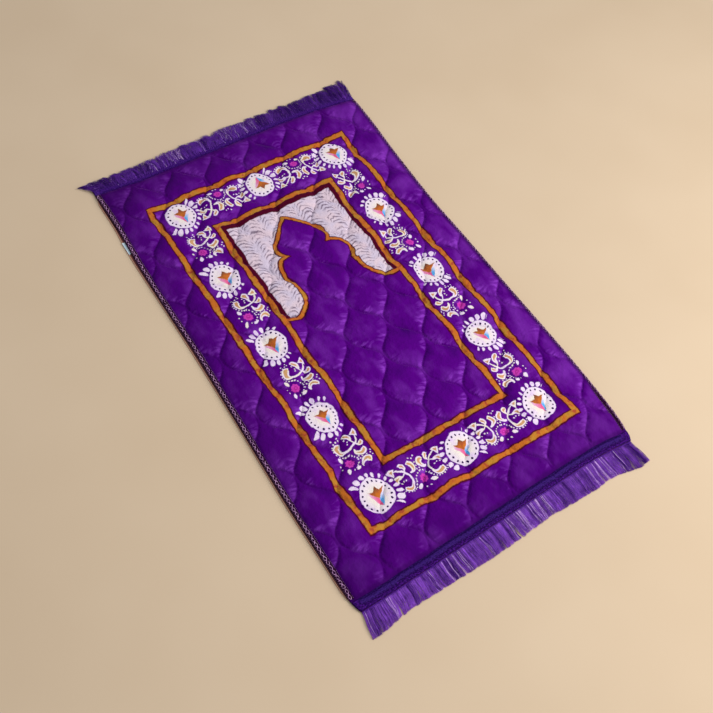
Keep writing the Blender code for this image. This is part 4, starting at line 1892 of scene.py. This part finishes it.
@dataclass
class EndTape(RugPiece):
    """Ribbed tape over one flattened end of the pad.

    Attributes:
        end: Which end it is on.
        under: Height of its underside.
        section_places: Distances of its section from the inner edge.
        section_heights: Heights there.
        end_inset: How far it stops short of the long edges.
        flat_ends: Length of its flat folded ends, left and right.
        flat_height: Height there.
        rib_pitch: Distance of the fine ribs.
        rib_height: Height of the fine ribs.
    """

    end: End
    under: float = 0.0045
    section_places: Table = (
        0.0003, 0.0018, 0.0034, 0.0052, 0.0082, 0.0112, 0.0132, 0.0150, 0.0172, 0.0200, 0.0227
    )
    section_heights: Table = (
        0.0049, 0.0048, 0.0047, 0.0066, 0.0074, 0.0070, 0.0056, 0.0048, 0.0055, 0.0056, 0.0048
    )
    end_inset: float = 0.0013
    flat_ends: tuple[float, float] = (0.016, 0.026)
    flat_height: float = 0.0058
    rib_pitch: float = 0.0015
    rib_height: float = 0.00022

    def build(self, material: Material) -> Piece:
        """Build the tape and dress it.

        Args:
            material: The tape's finish.

        Returns:
            The tape.
        """
        profile = SmoothTable(self.section_places, self.section_heights)
        outs = np.linspace(self.section_places[0], self.section_places[-1], 48)
        if self.end is End.NEAR:
            outs = outs[::-1]
        left, right = self.layout.corners(self.end, outs)
        left = left[:, None] + self.end_inset
        right = right[:, None] - self.end_inset
        across = left + np.linspace(0.0, 1.0, 260)[None, :] * (right - left)
        sway = 0.00045 * np.sin(across / 0.0163) + 0.00035 * np.sin(across / 0.0071 + 1.3)
        along = self.layout.end_line(self.end, across) + self.end.value * (outs[:, None] + sway)
        swept = outs[:, None] + 0.0007 * np.sin(across / 0.0112 + 0.4) * np.sin(across / 0.0291)
        from_left = (across - left) / self.flat_ends[0]
        from_right = (right - across) / self.flat_ends[1]
        rolled = smooth_step(from_left * 1.6 - 0.6) * smooth_step(from_right * 1.6 - 0.6)
        edge = smooth_step(outs / 0.002) * smooth_step((self.section_places[-1] - outs) / 0.002)
        folded = self.under + (self.flat_height - self.under) * edge[:, None]
        height = folded + (profile.at(swept) - folded) * rolled
        raised = (height - self.under) / (max(self.section_heights) - self.under)
        ridge = smooth_step((0.0150 - swept) / 0.003) * rolled
        puff = 0.00026 * np.sin(across / 0.0082) * np.sin(across / 0.0203 + 0.7)
        ribs = self.rib_height * np.cos(outs / self.rib_pitch * math.tau)[:, None]
        height = height + (puff + ribs) * np.clip(raised * 1.6 - 0.1, 0.0, 1.0)
        height = np.maximum(height, self.under + 0.0002)
        low = np.full_like(height, self.under)
        points, faces = SheetGrid(across, along, height, low).shell()
        # The height share becomes the painted shade of the tape's grooves in its material.
        tones = {
            TONE_AND_PAINTED_LIGHT: np.concatenate([raised.ravel(), raised.ravel()]),
            MARGIN_SHADE_AND_RIDGE: np.concatenate([ridge.ravel(), ridge.ravel()]),
        }
        name = "end_tape_" + self.end.name.lower()
        piece = self.make(name, points, faces, material, tones)
        seat(piece, ("heading_" + self.end.name.lower(),))
        size = (float((right - left).max()), self.layout.tape_width)
        return piece


@dataclass
class StrandBundle:
    """Many thin threads with three or more sides, as one mesh.

    Attributes:
        lines: Middle points of each thread, by thread and step.
        radii: Radius by thread and step.
        sides: How many sides a thread has.
    """

    lines: Array
    radii: Array
    sides: int = 3

    def mesh(self) -> tuple[Array, Faces]:
        """Skin every thread, with both ends closed.

        Returns:
            Points and faces.
        """
        count, steps, _ = self.lines.shape
        heading = np.gradient(self.lines, axis=1)
        heading /= np.maximum(np.linalg.norm(heading, axis=2, keepdims=True), 1e-9)
        upright = np.array([0.0, 0.0, 1.0])
        aside = np.cross(heading, upright)
        steep = np.linalg.norm(aside, axis=2, keepdims=True)
        spare = np.cross(heading, np.array([0.0, 1.0, 0.0]))
        aside = np.where(steep < 0.05, spare, aside)
        aside /= np.maximum(np.linalg.norm(aside, axis=2, keepdims=True), 1e-9)
        over = np.cross(aside, heading)
        angles = np.arange(self.sides) * math.tau / self.sides + math.pi / 2.0
        rings = (
            self.lines[:, :, None, :]
            + self.radii[:, :, None, None]
            * (
                np.cos(angles)[None, None, :, None] * aside[:, :, None, :]
                + np.sin(angles)[None, None, :, None] * over[:, :, None, :]
            )
        )
        number = np.arange(count * steps * self.sides).reshape(count, steps, self.sides)
        here = number[:, :-1, :]
        there = number[:, 1:, :]
        turned_here = np.roll(here, -1, axis=2)
        turned_there = np.roll(there, -1, axis=2)
        walls = np.stack([here, turned_here, turned_there, there], -1).reshape(-1, 4)
        faces = [tuple(row) for row in walls.tolist()]
        faces += [tuple(row) for row in number[:, 0, ::-1].tolist()]
        faces += [tuple(row) for row in number[:, -1, :].tolist()]
        return rings.reshape(-1, 3), faces


@dataclass
class Fringe(RugPiece):
    """Loose yarns at one short end, sewn into a narrow head.

    Attributes:
        end: Which end it is at.
        places: Across places of the tables below.
        lengths: Length of the yarns there.
        leans: Sideways lean there, for each metre of length.
        tones: How light the yarns are there, from 0 to 0.8.
        glints: Share of yarns with a painted glint in the shiny places there.
        locks: How many locks the yarns gather in.
        yarns: How many yarns a lock has.
        bundle: How many neighbouring yarns share a shine.
        steps: How many points a yarn has.
        over_tape: How far back over the tape some yarns start.
        tape_top: Height at which those yarns start.
        wave: Size of the yarns' waves.
        messes: How far a lock leans by chance there.
        ragged: How uneven the yarns' ends are.
        lift: How far the yarns arch off the floor.
        head_width: Width of the head.
        gap: Distance of the head from the tape.
        end_inset: How far the fringe stops short of the long edges.
        seed: Start of its chance.
        yarn_radii: Least and greatest radius of a yarn.
        taper: Share of it left at the tip.
        head_radius: Radius of the head's cords.
    """

    end: End
    places: Table
    lengths: Table
    leans: Table
    tones: Table
    glints: Table
    wave: float
    messes: Table
    ragged: float
    lift: float
    locks: int = 104
    yarns: int = 34
    bundle: int = 5
    steps: int = 9
    over_tape: float = 0.0
    tape_top: float = 0.0064
    head_width: float = 0.003
    gap: float = 0.0005
    end_inset: float = 0.0015
    seed: int = 5
    yarn_radii: tuple[float, float] = (0.00034, 0.00052)
    taper: float = 0.62
    head_radius: float = 0.00085

    def head_line(self, across: Array) -> Array:
        """Along place of the head's inner face."""
        return self.layout.end_line(self.end, across, self.layout.tape_width + self.gap)

    def limits(self) -> tuple[float, float]:
        """Across places of the fringe's two sides."""
        left, right = self.layout.corners(self.end, self.layout.tape_width)
        return float(left) + self.end_inset, float(right) - self.end_inset

    def yarn_lines(self, chance: np.random.Generator) -> tuple[Array, Array]:
        """Lay out every yarn.

        Args:
            chance: Source of chance.

        Returns:
            The yarns' middle points, and their tones from 0 to 1.
        """
        left, right = self.limits()
        count = self.locks * self.yarns
        lock = np.repeat(np.arange(self.locks), self.yarns)
        even = left + (np.arange(count) + 0.5) / count * (right - left)
        root = even + chance.normal(0.0, 0.0003, count)
        mess = SmoothTable(self.places, self.messes).at(root)
        lock_lean = chance.normal(0.0, 1.0, self.locks)[lock] * mess
        lock_long = chance.uniform(1.0 - self.ragged, 1.0 + 0.3 * self.ragged, self.locks)[lock]
        length = SmoothTable(self.places, self.lengths).at(root) * lock_long
        length *= 1.0 - self.ragged * 1.5 * chance.uniform(0.0, 1.0, count) ** 3
        lean = SmoothTable(self.places, self.leans).at(root) + lock_lean
        lean += chance.normal(0.0, 0.7, count) * mess
        share = np.linspace(0.0, 1.0, self.steps)[None, :]
        swing = chance.uniform(0.0, math.tau, (count, 2))
        turns = chance.uniform(0.6, 1.5, (count, 2))
        waves = np.sin(share * turns[:, :1] * math.tau + swing[:, :1])
        waves += 0.5 * np.sin(share * 2.3 * turns[:, 1:] * math.tau + swing[:, 1:])
        shared = np.sin(share * 1.1 * math.tau + root[:, None] / 0.031) + np.sin(root[:, None] / 0.0173)
        sway = self.wave * (waves * 0.45 + shared * 0.8) * share
        across = root[:, None] + (lean * length)[:, None] * share ** 1.15 + sway
        back = self.over_tape * np.maximum(chance.uniform(-1.0, 1.0, count), 0.0)[:, None]
        along = self.head_line(root)[:, None] + self.end.value * (
            self.head_width * 0.4 - back + (length[:, None] + back * 0.9) * share
        )
        layer = chance.uniform(0.0, 1.0, count)[:, None]
        on_tape = smooth_step(back / 0.001)
        root_height = (0.0008 + 0.0020 * layer) * (1.0 - on_tape) + (self.tape_top + 0.001 * layer) * on_tape
        rest_height = 0.0007 + 0.0018 * layer ** 1.5
        arch = self.lift * layer * np.sin(np.pi * share) * chance.uniform(0.3, 1.0, (count, 1))
        height = root_height + (rest_height - root_height) * share + arch
        height += 0.0004 * layer * np.sin(share * 9.0 + swing[:, :1]) ** 2
        lines = np.stack([across, along, height], axis=2)
        tone = SmoothTable(self.places, self.tones).at(root) + chance.normal(0.0, 0.10, count)
        tone += chance.normal(0.0, 0.15, self.locks)[lock]
        bundle = np.arange(count) // self.bundle
        tone += chance.normal(0.0, 0.12, bundle[-1] + 1)[bundle]
        # Painted highlight: bundles of yarns in clusters that glint.
        cluster = np.sin(root / 0.0113 + 0.8) + np.sin(root / 0.0314) + np.sin(root / 0.0051 + 2.0) * 0.6
        shiny = SmoothTable(self.places, self.glints).at(root)
        glint = (cluster > 0.3) & (chance.uniform(0.0, 1.0, bundle[-1] + 1)[bundle] < shiny)
        return lines, np.where(glint, 1.0, np.clip(tone, 0.0, 0.8))

    def head_lines(self) -> Array:
        """Lay out the cords of the head along the root of the fringe."""
        left, right = self.limits()
        places = np.linspace(left - 0.0004, right + 0.0004, 260)
        cords = []
        for row, level in ((0.0006, 0.0012), (0.0006, 0.0026), (0.0020, 0.0012), (0.0020, 0.0024)):
            turn = places / 0.0008 + row * 4000.0
            along = self.head_line(places) + self.end.value * (row + 0.00025 * np.sin(turn))
            height = level + 0.0002 * np.cos(turn)
            cords.append(np.stack([places, along, height], axis=1))
        return np.array(cords)

    def build(self, material: Material) -> Piece:
        """Build the fringe and dress it.

        Args:
            material: The yarn's finish.

        Returns:
            The fringe.
        """
        chance = np.random.default_rng(self.seed + self.end.value)
        lines, tone = self.yarn_lines(chance)
        count, steps, _ = lines.shape
        thin = np.linspace(1.0, self.taper, steps)[None, :]
        radii = chance.uniform(*self.yarn_radii, count)[:, None] * thin
        points, faces = StrandBundle(lines, radii).mesh()
        runs = np.repeat(np.linspace(0.0, 0.05, steps)[None, :], count, axis=0)
        tones = np.repeat(tone[:, None], steps, axis=1)
        head = self.head_lines()
        head_radii = np.full(head.shape[:2], self.head_radius)
        head_points, head_faces = StrandBundle(head, head_radii, sides=6).mesh()
        faces += [tuple(index + len(points) for index in face) for face in head_faces]
        numbers = {
            TONE_AND_PAINTED_LIGHT: np.concatenate([np.repeat(tones.ravel(), 3), np.full(len(head_points), 0.1)]),
            YARN_RUN: np.concatenate([np.repeat(runs.ravel(), 3), head_points[:, 0]]),
        }
        name = "fringe_yarns_" + self.end.name.lower()
        piece = self.make(name, np.concatenate([points, head_points]), faces, material, numbers)
        seat(piece, ("fringe_" + self.end.name.lower(),))
        return piece


@dataclass
class Overlock(RugPiece):
    """Threads sewn over one rolled long edge.

    Attributes:
        side: Which long edge.
        wrap: Path of a dark thread round the rim: inset from the edge and height.
        outer_leg: Path of a pale thread from the chain round the rim.
        inner_leg: Path of a pale thread from the chain into the pad.
        wrap_pitch: Distance of the dark threads.
        stitch: Distance of the pale stitches.
        chain_inset: Distance of the pale chain from the edge.
        chain_swing: How far the chain swings to either side.
        chain_tones: How pale its two threads are.
        reach: Share of their full width that the threads take up, away from the near end.
        tape_gap: How far from the near tape they start.
        floor: Height of the pad's underside.
        wrap_radius: Radius of a dark thread.
        chain_radius: Radius of a pale thread where the two cross, and how much thinner it turns.
        leg_radius: Radius of a pale thread on its way over the rim or in.
    """

    side: Side
    wrap: Path = (
        (0.0108, 0.0062), (0.0086, 0.0064), (0.0064, 0.0069), (0.0040, 0.0074), (0.0020, 0.0073),
        (0.0005, 0.0064), (-0.0005, 0.0048), (-0.0001, 0.0034), (0.0014, 0.0025),
    )
    outer_leg: Path = (
        (0.0018, 0.0076), (0.0006, 0.0071), (-0.0006, 0.0062),
        (-0.0011, 0.0048), (-0.0007, 0.0032), (0.0008, 0.0023),
    )
    inner_leg: Path = (
        (0.0092, 0.0070), (0.0102, 0.0067), (0.0112, 0.0064), (0.0120, 0.0056),
    )
    wrap_pitch: float = 0.0017
    stitch: float = 0.0208
    chain_inset: float = 0.0046
    chain_swing: float = 0.0029
    chain_tones: tuple[float, float] = (1.0, 0.94)
    reach: float = 1.0
    tape_gap: float = 0.006
    floor: float = 0.0015
    wrap_radius: float = 0.00058
    chain_radius: tuple[float, float] = (0.00060, 0.00020)
    leg_radius: float = 0.00036

    def runs(self, pitch: float) -> Array:
        """Along places from one tape to the other."""
        edge = float(self.layout.edge(self.side, 0.0))
        start = float(self.layout.end_line(End.NEAR, edge)) + self.tape_gap
        stop = float(self.layout.end_line(End.FAR, edge)) - 0.001
        return np.arange(start, stop, pitch)

    def across(self, along: Array, inset: Array) -> Array:
        """Across place at an inset from the edge."""
        return self.layout.edge(self.side, along) - self.side.value * inset

    def thinning(self, along: Array) -> Array:
        """Share of the rim's full height."""
        edge = self.layout.edge(self.side, along)
        return 0.55 + 0.45 * self.layout.end_rise(edge, along, 0.024)

    def width_share(self, along: Array) -> Array:
        """Share of the sewing's full width."""
        from_end = along - float(self.layout.end_line(End.NEAR, self.layout.edge(self.side, 0.0)))
        return 1.0 + (self.reach - 1.0) * smooth_step((from_end - 0.08) / 0.06)

    def wraps(self, chance: np.random.Generator) -> StrandBundle:
        """Dark threads round the rim, close together."""
        starts = self.runs(self.wrap_pitch)
        path = np.array(self.wrap)
        slant = np.linspace(0.0, 1.0, len(path))[None, :] * self.wrap_pitch * 0.9
        along = starts[:, None] + slant + chance.normal(0.0, 0.00012, (len(starts), 1))
        inset = path[None, :, 0] + chance.normal(0.0, 0.0003, (len(starts), 1)) * (path[None, :, 0] > 0.004)
        inset = np.where(inset > 0.0, inset * self.width_share(along), inset)
        height = self.floor + (path[None, :, 1] - self.floor) * self.thinning(along)
        lines = np.stack([self.across(along, inset), along, height], axis=2)
        return StrandBundle(lines, np.full(lines.shape[:2], self.wrap_radius), sides=4)

    def chain(self, phase: float) -> StrandBundle:
        """One of two pale threads that cross each other again and again along the edge."""
        along = self.runs(self.stitch / 20.0)
        drift = 0.30 * np.sin(along / 0.031) + 0.16 * np.sin(along / 0.0073)
        turn = along / self.stitch * math.tau + phase + drift
        swing = np.arcsin(0.985 * np.sin(turn)) / math.asin(0.985)
        uneven = 1.0 + 0.16 * np.sin(along / 0.0117 + phase) + 0.10 * np.sin(along / 0.0049)
        inset = self.chain_inset + self.chain_swing * swing * uneven
        rise = 0.0066 - 0.0010 * swing ** 2 + 0.0003 * np.cos(turn)
        height = self.floor + rise * self.thinning(along)
        lines = np.stack([self.across(along, inset), along, height], axis=1)[None]
        radii = self.chain_radius[0] - self.chain_radius[1] * np.abs(swing) ** 2
        return StrandBundle(lines, radii[None], sides=6)

    def legs(self, chance: np.random.Generator, outward: bool) -> StrandBundle:
        """Pale threads from the chain, one way over the rim and the other way in."""
        step = self.stitch / 6.0
        starts = self.runs(step)
        path = np.array(self.outer_leg if outward else self.inner_leg)
        start = 0.75 if outward else 0.25
        slant = np.linspace(start, start + 0.25, len(path))
        jitter = chance.normal(0.0, 0.00025, (len(starts), 1))
        along = starts[:, None] + slant[None, :] * step + jitter
        inset = path[None, :, 0] * (1.0 if outward else self.width_share(along))
        height = self.floor + (path[None, :, 1] - self.floor) * self.thinning(along)
        lines = np.stack([self.across(along, inset), along, height], axis=2)
        return StrandBundle(lines, np.full(lines.shape[:2], self.leg_radius), sides=5)

    def build(self, material: Material) -> Piece:
        """Build the threads and dress them.

        Args:
            material: The thread's finish.

        Returns:
            The threads of this edge, as one piece.
        """
        chance = np.random.default_rng(21 + self.side.value)
        bundles = [
            (self.wraps(chance), 0.0),
            (self.chain(0.0), self.chain_tones[0]),
            (self.chain(math.pi), self.chain_tones[1]),
            (self.legs(chance, True), 0.22),
            (self.legs(chance, False), 0.45),
        ]
        points = np.zeros((0, 3))
        faces = []
        tones = []
        for bundle, tone in bundles:
            more_points, more_faces = bundle.mesh()
            faces += [tuple(index + len(points) for index in face) for face in more_faces]
            points = np.concatenate([points, more_points])
            tones.append(np.full(len(more_points), tone))
        numbers = {TONE_AND_PAINTED_LIGHT: np.concatenate(tones), YARN_RUN: points[:, 1] + points[:, 2] * 1.5}
        piece = self.make("overlock_" + self.side.name.lower(), points, faces, material, numbers)
        seat(piece, ())
        return piece


@dataclass
class EdgeTab(RugPiece):
    """Blank folded tab caught under the left edge.

    Attributes:
        length: Length along the edge.
        tucked: How far it reaches under the pad.
        base: Height of its underside.
        ply: Thickness of both plies.
        fold_extra: How far the soft fold stands out past the solid's edge.
    """

    length: float = 0.036
    tucked: float = 0.004
    base: float = 0.0015
    ply: float = 0.0006
    fold_extra: float = 0.0012

    def build(self, material: Material) -> Piece:
        """Build the tab and dress it.

        Args:
            material: The satin.

        Returns:
            The tab.
        """
        edge = float(self.layout.left.at(self.layout.tab_middle))
        stands_out = self.layout.tab_out + self.fold_extra
        across = np.linspace(edge - stands_out, edge + self.tucked, 18)
        along = self.layout.tab_middle + np.linspace(-0.5, 0.5, 30) * self.length
        wide, long = np.meshgrid(across, along)
        from_fold = wide - across[0]
        rounding = np.sqrt(np.clip(from_fold / 0.0005, 0.0, 1.0))
        open_share = np.clip((edge - wide) / stands_out, 0.0, 1.0)
        ripple = 0.00045 * np.sin(long / 0.0052) * open_share
        crease = 0.0010 * open_share ** 2
        middle = self.base + self.ply / 2.0 + crease + ripple * 0.6 + 0.0003 * open_share
        half = self.ply / 2.0 * (0.25 + 0.75 * rounding)
        points, faces = SheetGrid(wide, long, middle + half, middle - half).shell()
        piece = self.make("blank_tab", points, faces, material)
        seat(piece, ("edge_tab",))
        return piece


# --- Studio ----------------------------------------------------------------------------------


@dataclass
class Studio:
    """Pale floor, soft light and the camera.

    Attributes:
        layout: Where the rug lies.
        camera_place: The camera's place in the rug's layout.
        azimuth: The way it looks, in degrees from +Y towards +X.
        elevation: How far it looks down, in degrees.
        roll: How far it is turned about its own line of sight, in degrees.
        lens: Its focal length in millimetres.
        film: Width of its film in millimetres.
        lamps: Name, place, size, power and colour of each soft light.
        sky_colour: Colour of the light from all round.
        sky_strength: Its strength.
    """

    layout: RugLayout
    camera_place: tuple[float, float, float] = (-0.8116, -0.9497, 1.7532)
    azimuth: float = 41.84
    elevation: float = 57.02
    roll: float = 11.0
    lens: float = 49.94
    film: float = 36.0
    lamps: tuple = (
        ("window", (1.9, -1.9, 1.95), 1.9, 100.0, (1.0, 0.97, 0.93)),
        ("sky", (0.2, 0.9, 3.2), 3.0, 34.0, (0.95, 0.97, 1.0)),
    )
    sky_colour: Table = (0.92, 0.94, 1.0, 1.0)
    sky_strength: float = 0.38

    def add_camera(self) -> None:
        """Place the camera at the photo's viewing angle."""
        camera = bpy.data.cameras.new("view")
        camera.lens = self.lens
        camera.sensor_width = self.film
        thing = bpy.data.objects.new("view", camera)
        bpy.context.scene.collection.objects.link(thing)
        turn = math.radians(self.azimuth)
        drop = math.radians(self.elevation)
        forward = Vector((math.sin(turn) * math.cos(drop), math.cos(turn) * math.cos(drop), -math.sin(drop)))
        level = Vector((math.cos(turn), -math.sin(turn), 0.0))
        upright = level.cross(forward)
        roll = math.radians(self.roll)
        right = level * math.cos(roll) + upright * math.sin(roll)
        up = right.cross(forward)
        axes = Matrix((right, up, -forward)).transposed()
        place = Vector(self.camera_place) + self.layout.offset
        thing.matrix_world = Matrix.Translation(place) @ axes.to_4x4()
        bpy.context.scene.camera = thing

    def add_area_light(self, name: str, place: tuple, size: float, power: float, colour: tuple) -> None:
        """Add a soft square light that faces the rug.

        Args:
            name: Its name.
            place: Where it hangs.
            size: Length of its side.
            power: Its power in watts.
            colour: Its colour.
        """
        lamp = bpy.data.lights.new(name, "AREA")
        lamp.size = size
        lamp.energy = power
        lamp.color = colour
        thing = bpy.data.objects.new(name, lamp)
        thing.location = place
        thing.rotation_euler = (-Vector(place)).to_track_quat("-Z", "Y").to_euler()
        bpy.context.scene.collection.objects.link(thing)

    def add_floor(self, material: Material) -> None:
        """Lay the floor under the rug."""
        bpy.ops.object.select_all(action="DESELECT")
        bpy.ops.mesh.primitive_plane_add(size=12.0, location=(0.0, 0.0, -0.0002))
        floor = bpy.context.object
        floor.name = "studio_floor"
        bpy.ops.object.transform_apply(location=True, rotation=True, scale=True)
        floor.data.materials.append(material)
        floor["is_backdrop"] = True

    def build(self) -> None:
        """Set up the whole studio."""
        self.add_camera()
        self.add_floor(StudioFloor().material())
        for lamp in self.lamps:
            self.add_area_light(*lamp)
        world = bpy.data.worlds.new("studio")
        world.use_nodes = True
        sky = world.node_tree.nodes["Background"]
        sky.inputs["Color"].default_value = self.sky_colour
        sky.inputs["Strength"].default_value = self.sky_strength
        bpy.context.scene.world = world
        bpy.context.scene.view_settings.view_transform = "Standard"


def near_fringe(layout: RugLayout) -> Fringe:
    """The combed fringe of the near end."""
    return Fringe(
        layout,
        End.NEAR,
        places=(
            -0.380, -0.330, -0.290, -0.250, -0.120, -0.050, 0.010,
            0.080, 0.150, 0.200, 0.250, 0.300, 0.318, 0.332,
        ),
        lengths=(
            0.0450, 0.0515, 0.0465, 0.0432, 0.0478, 0.0497, 0.0487,
            0.0462, 0.0500, 0.0520, 0.0500, 0.0555, 0.0575, 0.0530,
        ),
        leans=(-0.24, -0.18, -0.06, 0.00, 0.06, 0.06, 0.05, 0.04, 0.02, 0.00, -0.02, 0.02, 0.08, 0.17),
        tones=(0.35, 0.50, 0.60, 0.60, 0.50, 0.52, 0.54, 0.55, 0.55, 0.55, 0.54, 0.45, 0.34, 0.28),
        glints=(0.11, 0.11, 0.12, 0.10, 0.10, 0.12, 0.12, 0.12, 0.14, 0.14, 0.12, 0.06, 0.00, 0.00),
        wave=0.0018,
        messes=(0.030,) * 14,
        ragged=0.03,
        lift=0.0014,
    )


def far_fringe(layout: RugLayout) -> Fringe:
    """The tousled fringe of the far end, which flares at its left corner."""
    return Fringe(
        layout,
        End.FAR,
        places=(-0.380, -0.335, -0.315, -0.280, -0.150, 0.020, 0.120, 0.225, 0.290, 0.325, 0.345, 0.380),
        lengths=(
            0.0125, 0.0200, 0.0225, 0.0250, 0.0315, 0.0340, 0.0335, 0.0330, 0.0385, 0.0470, 0.0520, 0.0500
        ),
        leans=(-1.70, -1.20, -0.70, -0.18, 0.06, -0.06, 0.08, 0.03, 0.03, 0.06, 0.10, 0.10),
        tones=(0.15, 0.15, 0.25, 0.40, 0.60, 0.65, 0.40, 0.34, 0.34, 0.40, 0.42, 0.40),
        glints=(0.05, 0.05, 0.08, 0.14, 0.18, 0.16, 0.05, 0.00, 0.00, 0.02, 0.02, 0.00),
        wave=0.0034,
        messes=(0.24, 0.24, 0.24, 0.26, 0.26, 0.24, 0.16, 0.10, 0.07, 0.06, 0.06, 0.06),
        ragged=0.18,
        lift=0.0062,
        over_tape=0.017,
    )


def main() -> None:
    """Build the rug's pieces in order and report each one."""
    logging.basicConfig(level=logging.INFO, format="%(message)s")
    low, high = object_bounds()
    size = ((high[0] - low[0]) / MM, (high[1] - low[1]) / MM)
    LOG.info("frame: %d solids, %.1f x %.1f mm", len(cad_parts), *size)
    layout = RugLayout()
    Studio(layout).build()

    fuzz = pile_fuzz()
    shades = yarn_shades()
    weave = plain_weave()
    near_tape = RibbedTape().material(shades, weave)
    far_tape = RibbedTape(
        name="ribbed_tape_far", deep=dye(36, 4, 78), ridge=dye(66, 24, 118), lip=dye(80, 40, 136)
    ).material(shades, weave)
    near_yarn = FringeYarn().material(shades)
    far_yarn = FringeYarn("fringe_yarn_far", deep=dye(66, 20, 122), mid=dye(146, 76, 214)).material(shades)
    thread_finish = SewingThread().material(shades)
    pieces = [
        Backing(layout).build(BackingCloth().material(weave)),
        VelvetPad(layout, Lattice()).build(PrintedVelvet().material(fuzz)),
        EndTape(layout, End.NEAR).build(near_tape),
        EndTape(
            layout,
            End.FAR,
            section_heights=(
                0.0049, 0.0049, 0.0050, 0.0056, 0.0061, 0.0060, 0.0058, 0.0057, 0.0056, 0.0055, 0.0048
            ),
        ).build(far_tape),
        near_fringe(layout).build(near_yarn),
        far_fringe(layout).build(far_yarn),
        Overlock(layout, Side.LEFT).build(thread_finish),
        Overlock(
            layout, Side.RIGHT, chain_inset=0.0020, chain_swing=0.0018, chain_tones=(0.84, 0.78), reach=0.5
        ).build(thread_finish),
        EdgeTab(layout).build(TabSatin().material(weave)),
    ]
    for piece in pieces:
        triangles = sum(len(face.vertices) - 2 for face in piece.data.polygons)
        LOG.info("%s: %d points, %d triangles", piece.name, len(piece.data.vertices), triangles)


if __name__ == "__main__":
    main()
